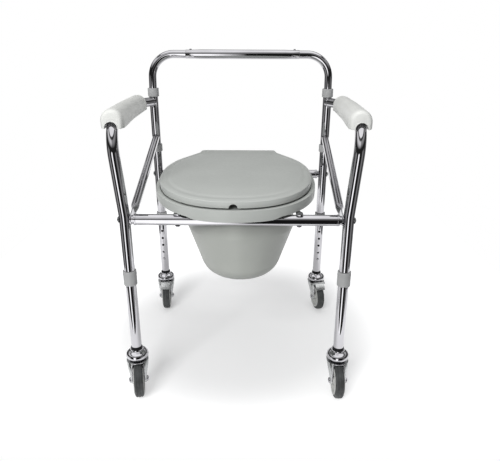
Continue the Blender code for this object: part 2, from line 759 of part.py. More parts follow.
def make_brace(side, body):
    """Stay from the sleeve down to the front crossbar's bolt, with a flattened front end."""
    sign = SIDES[side]
    start = at_height("rear_" + side, BRACE_TOP_S)
    tab_x = leg_x("front") - TUBE_R - GAP - BRACE_TAB / 2
    end = Vector((sign * tab_x, 0, CROSSBAR_Z))
    along_brace = (end - start).normalized()
    across = Vector((1, 0, 0))
    across = (across - along_brace * across.dot(along_brace)).normalized()
    over = along_brace.cross(across)
    length = (end - start).length
    radius = BRACE_OD / 2
    stations = [(0, radius, radius), (length - BRACE_TAPER, radius, radius),
                (length - BRACE_TAPER * 0.6, radius * 0.72, radius * 1.10),
                (length - BRACE_TAPER * 0.32, BRACE_TAB / 2, BRACE_TAB_R),
                (length - BRACE_TAB_R * 0.5, BRACE_TAB / 2, BRACE_TAB_R)]
    rings = []
    for distance, half_x, half_z in stations:
        centre = start + along_brace * distance
        ring = []
        for point in circle(1.0, TUBE_SIDES, 0.5):
            ring.append(centre + across * point.x * half_x + over * point.y * half_z)
        rings.append(ring)
    item = new_object(side + "_brace", skin(rings))
    tab = cylinder((sign * (tab_x - BRACE_TAB / 2), 0, CROSSBAR_Z),
                   (sign * (tab_x + BRACE_TAB / 2), 0, CROSSBAR_Z), BRACE_TAB_R)
    fuse(item, tab)
    hollow_end = start + along_brace * (length - BRACE_TAPER)
    cut(item, cylinder(start - along_brace * CUT_PAST, hollow_end, radius - TUBE_WALL, BORE_SIDES))
    cut(item, bolt_bore("front", sign))
    cut(item, bore("rear_" + side, SLEEVE_BOTTOM_S, SLEEVE_TOP_S, TUBE_R + GAP))
    return place(item, body, chrome())


def rail_places():
    return (RAIL_SHIFT - RAIL_SPREAD / 2, RAIL_SHIFT + RAIL_SPREAD / 2)


def oval(half_x, half_z, squareness, sides=10):
    """Ring of points that is round at squareness 1 and nearly a rectangle near 0."""
    points = []
    for point in circle(1.0, sides, 0.5):
        x = half_x * math.copysign(abs(point.x) ** squareness, point.x)
        points.append((x, half_z * math.copysign(abs(point.y) ** squareness, point.y)))
    return points


def make_seat_rail(side, body):
    """Round rail that the pail hangs on, its flat tabs bolted over the crossbars."""
    x = rail_places()[0 if side == "left" else 1]
    half, thin, wide = RAIL_OD / 2, RAIL_TAB / 2, RAIL_TAB_WIDTH / 2
    reach = RAIL_BOLT_HEAD_R + RAIL_TAB_END
    flat, bend = TUBE_R * 0.85, TUBE_R + RAIL_BEND
    front = [(-reach, thin, wide * 0.7, 0.3), (-reach + RAIL_TAB_SOFT, thin, wide, 0.3),
             (flat, thin, wide, 0.3), (bend, half, half, 1.0)]
    rear = [(FRAME_DEPTH - y, half_z, half_x, power) for y, half_z, half_x, power in reversed(front)]
    rings = []
    for y, half_z, half_x, power in front + rear:
        rings.append([Vector((x + a, y, RAIL_TOP_Z - half_z + b)) for a, b in oval(half_x, half_z, power)])
    item = new_object(side + "_seat_rail", skin(rings))
    head_z = CROSSBAR_Z - TUBE_R - GAP
    profile = [(0, head_z - RAIL_BOLT_HEAD), (RAIL_BOLT_HEAD_R * 0.7, head_z - RAIL_BOLT_HEAD * 0.9),
               (RAIL_BOLT_HEAD_R, head_z - RAIL_BOLT_HEAD * 0.4), (RAIL_BOLT_HEAD_R, head_z),
               (RAIL_BOLT_R, head_z), (RAIL_BOLT_R, RAIL_TOP_Z - thin), (0, RAIL_TOP_Z - thin)]
    for y in (0, FRAME_DEPTH):
        fuse(item, moved(turned(profile, 8), Matrix.Translation((x, y, 0))))
    return place(item, body, chrome())


# Arm pads

def pad_section(radius, skirt, steps=8):
    """Half-round outline, open downward, as (across, up) points."""
    points = [(radius, -skirt)]
    points += arc_points((0, 0), radius, 0, 180, steps)
    points.append((-radius, -skirt))
    return points


def clipped(path, low_y, high_y):
    """Stretch of a path between two planes across Y."""
    kept = []
    for start, end in zip(path, path[1:]):
        for plane in (low_y, high_y):
            if start.y < plane <= end.y:
                kept.append(start.lerp(end, (plane - start.y) / (end.y - start.y)))
        if low_y < end.y < high_y:
            kept.append(end)
    return sorted(kept, key=lambda point: point.y)


def pad_path(sign):
    """Centre line of a pad: the arm's own line, run on straight over its front bend."""
    slope = (ARM_REAR_SPREAD - ARM_FRONT_SPREAD) / 2 / ARM_REAR_Y
    level = [Vector((ARM_FRONT_SPREAD / 2, -PAD_R, ARM_Z))]
    level[0].x += slope * level[0].y
    level += [point for point in arm_path() if point.z > ARM_Z - 0.0001]
    return mirrored(clipped(level, PAD_FRONT_Y, PAD_REAR_Y), sign)


def pad_rings(path, sections):
    """Section outlines (across, up) stood upright across a path."""
    rings = []
    for frame, section in zip(path_frames(path, Vector((1, 0, 0))), sections):
        forward = frame.to_3x3() @ Vector((0, 0, 1))
        across = forward.cross(Vector((0, 0, 1))).normalized()
        rings.append([frame.translation + across * a + Vector((0, 0, b)) for a, b in section])
    return rings


def make_arm_pad(side, body):
    """Half-round cover over the arm tube, open underneath."""
    sign = SIDES[side]
    path = pad_path(sign)
    ahead = (path[1] - path[0]).normalized()
    behind = (path[-1] - path[-2]).normalized()
    soft = [0.0, PAD_SOFT * 0.28, PAD_SOFT]
    start = [path[0] + ahead * step for step in soft]
    finish = [path[-1] - behind * step for step in reversed(soft)]
    middle = [point for point in path[1:-1] if start[-1].y < point.y < finish[0].y]
    shares = [0.84, 0.93, 1.0] + [1.0] * len(middle) + [1.0, 0.90, 0.72]
    outer = [pad_section(PAD_R * share, PAD_SKIRT * share) for share in shares]
    item = new_object(side + "_arm_pad", skin(pad_rings(start + middle + finish, outer)))
    under = TUBE_R + GAP
    half = PAD_R - PAD_WALL
    below, ledge = -PAD_SKIRT - CUT_PAST, -PAD_SKIRT * 0.5
    slot = [(half, below), (half, ledge), (under, -GAP), (-under, -GAP), (-half, ledge), (-half, below)]
    run = run_past(path)
    cut(item, skin(pad_rings(run, [slot] * len(run))))
    cut(item, rod(mirrored(arm_path(), sign), under))
    return place(item, body, pad_plastic())


# Seat, lid and pail

def seat_frame():
    """Frame of the tilted seat: z = 0 on the underside of the ring."""
    return (Matrix.Translation((SEAT_SHIFT, 0, SEAT_Z))
            @ Matrix.Rotation(SEAT_TILT, 4, "X"))


def outline(half_width, half_length, centre_y, rear_y):
    """Rounded-oval outline, cut off straight at the rear."""
    points = []
    for index in range(OUTLINE_SIDES):
        turn = 2 * math.pi * (index + 0.5) / OUTLINE_SIDES
        across, ahead = math.cos(turn), math.sin(turn)
        x = half_width * math.copysign(abs(across) ** (2 / OUTLINE_POWER), across)
        y = centre_y + half_length * math.copysign(abs(ahead) ** (2 / OUTLINE_POWER), ahead)
        points.append((x, min(y, rear_y)))
    return points


def blended(first, second, share, height):
    """Ring of points between two outlines."""
    ring = []
    for (x0, y0), (x1, y1) in zip(first, second):
        ring.append(Vector((x0 + (x1 - x0) * share, y0 + (y1 - y0) * share, height)))
    return ring


def ring_outlines():
    outer = outline(RING_HALF_WIDTH, RING_HALF_LENGTH, SEAT_CENTRE_Y, RING_REAR_Y)
    hole = outline(HOLE_HALF_WIDTH, HOLE_HALF_LENGTH, HOLE_CENTRE_Y, RING_REAR_Y)
    return outer, hole


def make_seat_ring(body):
    """Moulded seat ring, hollow underneath, with feet, rear clips and hinge lugs."""
    outer, hole = ring_outlines()
    top, wall = RING_HEIGHT, RING_WALL
    shares = [(0.0, 0.0), (0.0, top - RING_EDGE), (0.05, top), (0.50, top), (0.88, top - RING_EDGE),
              (1.0, top - HOLE_DROP), (1.0, HOLE_LIP), (0.965, HOLE_LIP), (0.50, top - wall),
              (0.06, top - wall), (0.04, 0.0)]
    rings = [blended(outer, hole, share, height) for share, height in shares]
    frame = seat_frame()
    item = new_object("seat_ring", moved(skin(rings, closed=True), frame))
    for x in rail_places():
        for y in (BUMPER_FRONT_Y, BUMPER_REAR_Y):
            fuse(item, seat_foot(x, y))
    for x in (-CLIP_SPREAD / 2, CLIP_SPREAD / 2):
        fuse(item, clip_body(x))
        cut(item, clip_bore(x))
    for x in (-HINGE_SPREAD / 2, HINGE_SPREAD / 2):
        for offset in (-1, 1):
            fuse(item, moved(ring_knuckle(x + offset * (KNUCKLE_WIDTH + GAP)), frame))
        reach = KNUCKLE_WIDTH
        pin = cylinder((x - reach, HINGE_Y, HINGE_Z), (x + reach, HINGE_Y, HINGE_Z), PIN_R, 8)
        fuse(item, moved(pin, frame))
    return place(item, body, seat_plastic())


def seat_foot(x, y):
    """Foot under the ring that stands on a rail."""
    frame = seat_frame()
    low = frame.inverted() @ Vector((x, y, RAIL_TOP_Z + GAP))
    tilt = BUMPER_R * math.sin(SEAT_TILT)
    top = RING_HEIGHT - RING_WALL * 0.6
    profile = [(0, low.z + tilt), (BUMPER_R, low.z + tilt), (BUMPER_R, top), (0, top)]
    return moved(turned(profile, 8), frame @ Matrix.Translation((low.x, low.y, 0)))


def bar_in_seat():
    """Rear crossbar's axis in the seat's frame."""
    return seat_frame().inverted() @ Vector((0, FRAME_DEPTH, CROSSBAR_Z))


def clip_body(x):
    """Block that reaches from the ring's underside round the rear crossbar."""
    bar = bar_in_seat()
    radius = TUBE_R + GAP + CLIP_WALL
    base = RING_HEIGHT - RING_WALL * 0.6
    mouth = math.degrees(CLIP_MOUTH) / 2
    points = arc_points((bar.y, bar.z), radius, -90 + mouth, 60, 5)
    points += [(RING_REAR_Y - RING_WALL * 0.6, base), (bar.y - radius - CLIP_ROOT, base)]
    points += arc_points((bar.y, bar.z), radius, 170, 270 - mouth, 3)
    return moved(across_x(points, x, CLIP_WIDTH), seat_frame())


def across_x(points, x, width):
    """Plate with a (y, z) outline, centred at x."""
    return skin([[Vector((x - width / 2, y, z)) for y, z in points],
                 [Vector((x + width / 2, y, z)) for y, z in points]])


def clip_bore(x):
    """Space of the rear crossbar and the clip's mouth below it."""
    bar = bar_in_seat()
    radius = TUBE_R + GAP
    mouth = math.degrees(CLIP_MOUTH) / 2
    around = radius / math.cos(math.pi / TUBE_SIDES)
    points = arc_points((bar.y, bar.z), around, -90 + mouth, 270 - mouth, 9)
    spread = radius * math.sin(CLIP_MOUTH / 2) * 1.2
    points += [(bar.y - spread, bar.z - radius * 2), (bar.y + spread, bar.z - radius * 2)]
    return moved(across_x(points, x, CLIP_WIDTH + 2 * CUT_PAST), seat_frame())


def ring_knuckle(x):
    """Lug that stands on the rear edge of the ring."""
    base = RING_HEIGHT - RING_WALL * 0.6
    points = arc_points((HINGE_Y, HINGE_Z), KNUCKLE_R, 0, 180, 4)
    points += [(HINGE_Y - KNUCKLE_R, base), (HINGE_Y + KNUCKLE_R, base)]
    return across_x(points, x, KNUCKLE_WIDTH - GAP)


def lid_knuckle(x):
    """Lug that reaches back from the lid's rear wall."""
    inside = LID_REAR_Y - LID_WALL * 0.6
    points = arc_points((HINGE_Y, HINGE_Z), KNUCKLE_R, -90, 90, 4)
    points += [(inside, HINGE_Z + KNUCKLE_R), (inside, lid_base() + GAP)]
    return across_x(points, x, KNUCKLE_WIDTH - GAP)


def pin_bore():
    """Hole through the lid's lugs."""
    reach = HINGE_SPREAD / 2 + 2 * KNUCKLE_WIDTH
    return cylinder((-reach, HINGE_Y, HINGE_Z), (reach, HINGE_Y, HINGE_Z), PIN_R + GAP, 8)


def lid_base():
    return RING_HEIGHT + LID_GAP


def make_seat_lid(body):
    """Lid with a deep edge, a crowned top and a finger notch at the front."""
    edge = outline(RING_HALF_WIDTH - LID_INSET, RING_HALF_LENGTH - LID_INSET, SEAT_CENTRE_Y, LID_REAR_Y)
    middle = [(0.0, SEAT_CENTRE_Y)] * OUTLINE_SIDES
    base = lid_base()
    crest, wall_share = base + LID_SKIRT, LID_WALL / RING_HALF_WIDTH
    flat = 1 - LID_FLAT_SHARE
    profile = [(0.0, base), (0.0, crest - LID_EDGE), (LID_RIM_SHARE / 4, crest), (LID_RIM_SHARE, crest),
               (LID_CROWN_SHARE, crest + LID_BAND), (LID_HAUNCH_SHARE, crest + LID_HAUNCH_RISE),
               (flat, crest + LID_RISE)]
    under = [(flat, crest + LID_RISE - LID_WALL), (LID_CROWN_SHARE, crest - LID_WALL),
             (wall_share, crest - LID_WALL), (wall_share, base)]
    rings = [blended(edge, middle, share, height) for share, height in profile]
    lower = [blended(edge, middle, share, height) for share, height in under]
    shape = lid_skin(rings, lower)
    frame = seat_frame()
    item = new_object("seat_lid", moved(shape, frame))
    for x in (-HINGE_SPREAD / 2, HINGE_SPREAD / 2):
        fuse(item, moved(lid_knuckle(x), frame))
    cut(item, moved(pin_bore(), frame))
    for x in (-LID_FOOT_X, LID_FOOT_X):
        for y in LID_FOOT_Y:
            fuse(item, moved(lid_foot(x, y), frame))
    front = SEAT_CENTRE_Y - RING_HALF_LENGTH
    inside = front + LID_INSET + LID_WALL * 4
    notch = cylinder((0, front - CUT_PAST, base), (0, inside, base), NOTCH_R)
    cut(item, moved(notch, frame))
    return place(item, body, seat_plastic())


def lid_skin(rings, lower):
    """Closed shell: outer rings up to a flat middle, inner rings back to the rim."""
    shape = bmesh.new()
    rows = [[shape.verts.new(point) for point in ring] for ring in rings]
    under = [[shape.verts.new(point) for point in ring] for ring in lower]
    count = OUTLINE_SIDES
    for group in (rows, under):
        for low, high in zip(group, group[1:]):
            for index in range(count):
                following = (index + 1) % count
                shape.faces.new((low[index], low[following], high[following], high[index]))
    for index in range(count):
        following = (index + 1) % count
        shape.faces.new((rows[0][index], rows[0][following], under[-1][following], under[-1][index]))
    shape.faces.new(rows[-1])
    shape.faces.new(under[0])
    bmesh.ops.recalc_face_normals(shape, faces=shape.faces)
    return shape


def lid_foot(x, y):
    """Foot inside the lid that lands on the ring."""
    low = RING_HEIGHT + GAP
    top = lid_base() + LID_SKIRT
    profile = [(0, low), (LID_BUMPER_R, low), (LID_BUMPER_R, top), (0, top)]
    return moved(turned(profile, 8), Matrix.Translation((x, y, 0)))


def make_pail(body):
    """Round pail that hangs on the rails by its rim."""
    rim = RAIL_TOP_Z + GAP
    bottom = rim - PAIL_DEPTH
    low, thick, ledge = (PAIL_FLAT_R, bottom + PAIL_CORNER_R), PAIL_WALL, PAIL_TOP_R - PAIL_TAPER
    outer = [(PAIL_FLANGE_R, rim), (PAIL_TOP_R, rim), (ledge, rim - PAIL_NECK)]
    outer += arc_points(low, PAIL_CORNER_R, -8, -90, 4)
    inner = arc_points(low, PAIL_CORNER_R - thick, -90, -8, 4)
    inner += [(ledge - thick, rim - PAIL_NECK), (PAIL_TOP_R - thick, rim + PAIL_FLANGE),
              (PAIL_FLANGE_R, rim + PAIL_FLANGE)]
    shape = turned(outer + [(0, bottom), (0, bottom + thick)] + inner, PAIL_SIDES)
    item = new_object("pail", moved(shape, Matrix.Translation((PAIL_SHIFT, PAIL_Y, 0))))
    return place(item, body, seat_plastic())


# Sliding legs and casters

def make_lower_leg(corner, body):
    """Tube with the row of height holes, sliding on the spigot."""
    low, high = LEG_END_S, SPLIT_S - GAP
    tube = turned([(SLIDE_BORE_R, low), (TUBE_R, low), (TUBE_R, high), (SLIDE_BORE_R, high)],
                  TUBE_SIDES, 0.5)
    item = new_object(corner + "_lower_leg", moved(tube, leg_frame(corner)))
    for index in range(HOLE_COUNT):
        cut(item, button_hole(corner, LOWEST_HOLE_S + index * HOLE_PITCH))
    return place(item, body, chrome())


def make_leg_collar(corner, body):
    """Plastic collar over the joint of the two leg tubes."""
    plain = TUBE_R + GAP
    ring = turned(collar_profile(*LEG_COLLAR, plain, plain, 0), TUBE_SIDES, 0.5)
    item = new_object(corner + "_leg_collar", moved(ring, leg_frame(corner)))
    return place(item, body, grey_plastic())


def make_snap_button(corner, body):
    """Button on a leaf spring inside the spigot, through the lowest hole of the leg."""
    base = SLIP_R - TUBE_WALL - BUTTON_R * 0.6
    tip = TUBE_R + BUTTON_PROUD
    profile = [(0, base), (BUTTON_R, base), (BUTTON_R, tip - BUTTON_R * 0.4),
               (BUTTON_R * 0.7, tip - BUTTON_R * 0.1), (0, tip)]
    facing = button_side(corner)
    aim = Matrix.Translation((0, 0, LOWEST_HOLE_S)) @ Matrix.Rotation(-facing * math.pi / 2, 4, "X")
    item = new_object(corner + "_snap_button", moved(turned(profile, 8), leg_frame(corner) @ aim))
    fuse(item, moved(leaf_spring(facing, base), leg_frame(corner)))
    return place(item, body, chrome())


def leaf_spring(facing, base):
    """Hairpin leaf behind the button, its bend upward."""
    front = base + SPRING_THICK * 0.5
    back = -(SLIP_R - TUBE_WALL - BUTTON_TRAVEL - LOOSE)
    low, high = LOWEST_HOLE_S - SPRING_TAIL, LOWEST_HOLE_S + SPRING_LENGTH
    bend = (front - back) / 2 * 0.55
    middle = (front + back) / 2
    outer = [(front, low)] + arc_points((middle, high), bend, 0, 180, 4) + [(back, low)]
    thin = SPRING_THICK
    inner = [(back + thin, low)] + arc_points((middle, high), bend - thin, 180, 0, 4)
    inner += [(front - thin, low)]
    points = [(facing * y, z) for y, z in outer + inner]
    half = SPRING_WIDTH / 2
    return skin([[Vector((-half, y, z)) for y, z in points],
                 [Vector((half, y, z)) for y, z in points]])


def make_caster_plug(corner, body):
    """Black socket that fills the end of the leg and takes the caster's stud."""
    flange_top = LEG_END_S - GAP
    stem_top = LEG_END_S + PLUG_STEM + LOOSE
    bore_r = STUD_R + GAP
    stem_r = SLIDE_BORE_R - GAP
    profile = [(bore_r, PLUG_Z), (PLUG_FLANGE_R, PLUG_Z), (PLUG_FLANGE_R, flange_top),
               (stem_r, flange_top), (stem_r, stem_top), (bore_r, stem_top)]
    item = new_object(corner + "_caster_plug", moved(turned(profile, TUBE_SIDES, 0.5), leg_frame(corner)))
    return place(item, body, black_plastic())


def make_caster_housing(corner, body):
    """Domed upper half of the swivel, with the stud that goes up the leg."""
    low, high = HOUSING_Z, HOUSING_Z + HOUSING_HEIGHT
    stud_top, pin_r = LEG_END_S + PLUG_STEM, KINGPIN_R + GAP
    pin_top = RACE_Z + RACE_HEIGHT + KINGPIN_REACH + LOOSE
    rim = low + HOUSING_LIP
    profile = [(pin_r, low), (RACE_R, low), (HOUSING_R, rim), (HOUSING_R, rim + HOUSING_BAND),
               (HOUSING_SHOULDER_R, low + HOUSING_SHOULDER), (HOUSING_TOP_R, high), (STUD_R, high),
               (STUD_R, stud_top), (0, stud_top), (0, pin_top), (pin_r, pin_top)]
    shape = turned(profile, CASTER_SIDES, 0.5)
    item = new_object(corner + "_caster_housing", moved(shape, leg_frame(corner)))
    return place(item, body, chrome())


def swivel_frame(corner):
    """Frame of a caster's fork: Z along the leg, the wheel trails towards -Y."""
    return leg_frame(corner) @ Matrix.Rotation(math.radians(CASTER_YAW[corner]), 4, "Z")


def wheel_frame(corner):
    """Frame of a wheel: X along its axle, Z as upright as the axle lets it be."""
    swivel = swivel_frame(corner)
    axle = swivel.to_3x3() @ Vector((1, 0, 0))
    up = (Vector((0, 0, 1)) - axle * axle.z).normalized()
    frame = Matrix((axle, up.cross(axle), up)).transposed().to_4x4()
    frame.translation = swivel @ Vector((0, -CASTER_TRAIL, WHEEL_R))
    return frame


def fork_side(sign):
    """One leg of the fork, from the round crown down to the axle's eye."""
    top = RACE_Z
    rows = []
    outer_flat = FORK_INNER + FORK_PLATE
    heights = [(0.0, 0), (0.45, 0), (1.0, 0), (1.0, 55)]
    for share, below in heights:
        drop = FORK_EYE_R * math.sin(math.radians(below))
        z = top + (WHEEL_R - top) * share - drop
        half = FORK_HALF_TOP + (FORK_EYE_R - FORK_HALF_TOP) * share
        half *= math.cos(math.radians(below))
        centre = -CASTER_TRAIL * share
        row = []
        for step in range(4):
            y = half * (step / 1.5 - 1)
            bowed = math.sqrt(max(CROWN_R ** 2 - y ** 2, 0))
            x = bowed + (outer_flat - bowed) * min(1, share * 1.15)
            row.append((x, centre + y, z))
        rows.append(row)
    rings = []
    for row in rows:
        outside = [Vector((sign * x, y, z)) for x, y, z in row]
        inside = [Vector((sign * (x - FORK_PLATE), y, z)) for x, y, z in reversed(row)]
        rings.append(outside + inside)
    return skin(rings)


def make_caster_fork(corner, body):
    """Pressed fork with its crown, race, kingpin and the riveted axle with domed ends."""
    crown = [(0, CROWN_Z), (CROWN_R, CROWN_Z), (CROWN_R, RACE_Z), (RACE_R, RACE_Z),
             (RACE_R, RACE_Z + RACE_HEIGHT), (KINGPIN_R, RACE_Z + RACE_HEIGHT),
             (KINGPIN_R, RACE_Z + RACE_HEIGHT + KINGPIN_REACH), (0, RACE_Z + RACE_HEIGHT + KINGPIN_REACH)]
    item = new_object(corner + "_caster_fork", turned(crown, CASTER_SIDES, 0.5))
    for sign in SIDES.values():
        fuse(item, fork_side(sign))
        if corner.startswith("rear"):
            fuse(item, pedal_ear(sign))
    root, end = FORK_INNER + FORK_PLATE / 2, FORK_INNER + FORK_PLATE + NUT_HEIGHT
    half = [(AXLE_R, root), (NUT_R, root), (NUT_R * 0.7, end - NUT_R * 0.1), (0, end)]
    profile = half + [(radius, -x) for radius, x in reversed(half)]
    fuse(item, along_x(turned(profile, 8, 0.5), -CASTER_TRAIL, WHEEL_R))
    if corner.startswith("rear"):
        past = CROWN_R + CUT_PAST
        cut(item, cylinder((-past, PEDAL_PIVOT_Y, PEDAL_PIVOT_Z), (past, PEDAL_PIVOT_Y, PEDAL_PIVOT_Z),
                           PEDAL_PIN_R + GAP, 8))
    item.data.transform(swivel_frame(corner))
    return place(item, body, chrome())


def pedal_ear(sign):
    """Ear on the front of the crown that carries the brake pedal's pin."""
    root = PEDAL_PIVOT_Y + PEDAL_EAR_ROOT
    points = arc_points((PEDAL_PIVOT_Y, PEDAL_PIVOT_Z), PEDAL_EAR_R, 60, 250, 5)
    points += [(PEDAL_PIVOT_Y + PEDAL_EAR_ROOT * 0.48, CROWN_Z), (root, CROWN_Z), (root, RACE_Z),
               (PEDAL_PIVOT_Y + PEDAL_EAR_ROOT * 0.34, RACE_Z + FORK_PLATE * 0.55)]
    inner = FORK_INNER + GAP
    outer = inner + FORK_PLATE
    return skin([[Vector((sign * inner, y, z)) for y, z in points],
                 [Vector((sign * outer, y, z)) for y, z in points]])


def make_wheel_hub(corner, body):
    """Wheel centre with a boss, a thin web and a rim."""
    rim_r = WHEEL_R - TYRE_DEPTH - GAP
    boss, web = HUB_WIDTH / 2, WEB_WIDTH / 2
    rim, lip = TREAD_WIDTH / 2 - HUB_INSET, rim_r - HUB_RIM
    bore_r = AXLE_R + GAP
    profile = [(bore_r, -boss), (HUB_BOSS_R, -boss), (lip, -web), (rim_r, -rim),
               (rim_r, rim), (lip, web), (HUB_BOSS_R, boss), (bore_r, boss)]
    shape = turned(profile, CASTER_SIDES, 0.5)
    item = new_object(corner + "_wheel_hub", moved(shape, wheel_frame(corner) @ wheel_turn()))
    return place(item, body, grey_plastic())


def wheel_turn():
    """Turns a shape about Z into one about the axle, with a flat facet down."""
    return Matrix.Rotation(math.pi / 2, 4, "Y")


def make_tyre(corner, body):
    """Solid tyre with rounded shoulders."""
    inner = (WHEEL_R - TYRE_DEPTH) / math.cos(math.pi / WHEEL_SIDES)
    half, side = TREAD_WIDTH / 2, WHEEL_R - TYRE_DEPTH * 0.35
    foot, tread = half - HUB_INSET, half - TYRE_SHOULDER
    profile = [(inner, -foot), (inner, foot), (side, half), (WHEEL_TIP_R, tread), (WHEEL_TIP_R, -tread),
               (side, -half)]
    shape = turned(profile, WHEEL_SIDES, 0.5)
    item = new_object(corner + "_tyre", moved(shape, wheel_frame(corner) @ wheel_turn()))
    return place(item, body, dark_rubber())


def pedal_frame(corner):
    return swivel_frame(corner) @ Matrix.Translation((0, PEDAL_PIVOT_Y, PEDAL_PIVOT_Z))


def make_brake_pedal(corner, body):
    """Plate between the fork's ears that is pressed in against the tyre."""
    half = FORK_INNER - GAP
    low_half = half - PEDAL_TAPER
    tip_y = -PEDAL_LENGTH * math.cos(PEDAL_SLOPE)
    tip_z = -PEDAL_LENGTH * math.sin(PEDAL_SLOPE)
    lift = Vector((0, -math.sin(PEDAL_SLOPE), math.cos(PEDAL_SLOPE))) * PEDAL_THICK
    outline_points = [Vector((-half, 0, 0)), Vector((half, 0, 0)),
                      Vector((low_half, tip_y, tip_z)), Vector((-low_half, tip_y, tip_z))]
    item = new_object(corner + "_brake_pedal", skin([outline_points, [p + lift for p in outline_points]]))
    reach = FORK_INNER + GAP + FORK_PLATE + PEDAL_PIN_END
    fuse(item, cylinder((-half, 0, 0), (half, 0, 0), PEDAL_CURL_R, 8))
    fuse(item, cylinder((-reach, 0, 0), (reach, 0, 0), PEDAL_PIN_R, 8))
    item.data.transform(pedal_frame(corner))
    return place(item, body, chrome())


def make_corner(corner, frame_body):
    """Sliding leg with its collar, snap button, caster, wheel and brake."""
    leg = make_body(corner + "_leg_slide", frame_body, leg_frame(corner))
    make_lower_leg(corner, leg)
    make_leg_collar(corner, leg)
    make_caster_plug(corner, leg)
    make_caster_housing(corner, leg)
    button_at = leg_frame(corner) @ Matrix.Translation((0, 0, LOWEST_HOLE_S))
    make_snap_button(corner, make_body(corner + "_button_slide", frame_body, button_at))
    fork = make_body(corner + "_swivel", leg, swivel_frame(corner))
    make_caster_fork(corner, fork)
    wheel = make_body(corner + "_axle", fork, wheel_frame(corner))
    make_wheel_hub(corner, wheel)
    make_tyre(corner, wheel)
    if corner.startswith("rear"):
        pedal = make_body(corner + "_pedal_pivot", fork, pedal_frame(corner))
        make_brake_pedal(corner, pedal)


def make_frame(body):
    for side in SIDES:
        make_side_frame(side, body)
        make_rear_upright(side, body)
        make_upright_collars(side, body)
        make_back_bend(side, body)
        make_brace(side, body)
        make_seat_rail(side, body)
        make_arm_pad(side, body)
    make_back_cross_tube(body)
    for end in ("front", "rear"):
        make_crossbar(end, body)
        for side in SIDES:
            make_crossbar_bolt(end, side, body)


def make_seat(frame_body):
    bar = Matrix.Translation((0, FRAME_DEPTH, CROSSBAR_Z))
    seat = make_body("seat_pivot", frame_body, bar)
    make_seat_ring(seat)
    hinge = seat_frame() @ Matrix.Translation((0, HINGE_Y, HINGE_Z))
    make_seat_lid(make_body("lid_pivot", seat, hinge))
    slide = Matrix.Translation((PAIL_SHIFT, PAIL_Y, RAIL_TOP_Z))
    make_pail(make_body("pail_slide", frame_body, slide))


def centre_on_floor(root):
    """Move the chair so that its origin is under the middle of its bounding box."""
    bpy.context.view_layer.update()
    low = Vector((math.inf,) * 3)
    high = Vector((-math.inf,) * 3)
    for item in bpy.data.objects:
        if item.type != "MESH":
            continue
        for vertex in item.data.vertices:
            point = item.matrix_world @ vertex.co
            low = Vector(map(min, low, point))
            high = Vector(map(max, high, point))
    middle = (low + high) / 2
    root.location = (-middle.x, -middle.y, -low.z)
    bpy.context.view_layer.update()


def main():
    clear_scene()
    root = make_body("chair", None, Matrix.Identity(4))
    make_frame(root)
    make_seat(root)
    for end in ("front", "rear"):
        for side in SIDES:
            make_corner("%s_%s" % (end, side), root)
    centre_on_floor(root)


main()
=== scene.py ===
import json
import math

import bmesh
import bpy
from bpy.props import FloatProperty, FloatVectorProperty, PointerProperty
from bpy.types import Operator, Panel, PropertyGroup
from mathutils import Matrix, Vector


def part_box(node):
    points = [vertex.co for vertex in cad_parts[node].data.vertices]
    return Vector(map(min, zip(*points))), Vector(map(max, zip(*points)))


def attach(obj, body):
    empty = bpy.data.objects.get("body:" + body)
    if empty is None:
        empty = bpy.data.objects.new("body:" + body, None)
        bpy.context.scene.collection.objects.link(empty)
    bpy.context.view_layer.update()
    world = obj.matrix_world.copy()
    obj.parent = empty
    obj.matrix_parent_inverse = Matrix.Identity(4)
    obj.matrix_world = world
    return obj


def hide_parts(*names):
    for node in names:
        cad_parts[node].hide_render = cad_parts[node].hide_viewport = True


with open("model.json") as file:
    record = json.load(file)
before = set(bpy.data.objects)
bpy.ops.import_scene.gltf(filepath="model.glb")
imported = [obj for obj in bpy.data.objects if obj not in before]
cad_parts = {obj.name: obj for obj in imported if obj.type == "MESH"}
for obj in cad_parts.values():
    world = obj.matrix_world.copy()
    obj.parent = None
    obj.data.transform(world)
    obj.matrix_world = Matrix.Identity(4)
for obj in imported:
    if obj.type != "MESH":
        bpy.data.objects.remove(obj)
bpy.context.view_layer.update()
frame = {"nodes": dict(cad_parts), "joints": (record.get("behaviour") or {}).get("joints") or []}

bl_info = {
    "name": "Wheeled commode chair",
    "version": (1, 0, 0),
    "blender": (4, 5, 0),
    "location": "View3D > Sidebar > Commode chair",
    "description": "Finished pieces of a chromed commode chair on casters",
    "category": "Object",
}

# Places that come from the frame
JOINTS = {joint["name"]: joint for joint in frame["joints"]}
LEG_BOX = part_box("front_left_lower_leg")
BAR = Vector(JOINTS["seat_lift"]["pos_m"])
CROSSBAR_Z = 0.4590
# All pieces are drawn with y = 0 on the front legs and z = 0 on the floor, then moved here
SHIFT = Vector((0, (LEG_BOX[0].y + LEG_BOX[1].y) / 2, BAR.z - CROSSBAR_Z))
SIDES = {"left": -1, "right": 1}
CORNERS = ("front_left", "front_right", "rear_left", "rear_right")
ACROSS, BACK, UP = Vector((1, 0, 0)), Vector((0, 1, 0)), Vector((0, 0, 1))
SIDEWAYS = Matrix.Rotation(math.pi / 2, 4, "Y")

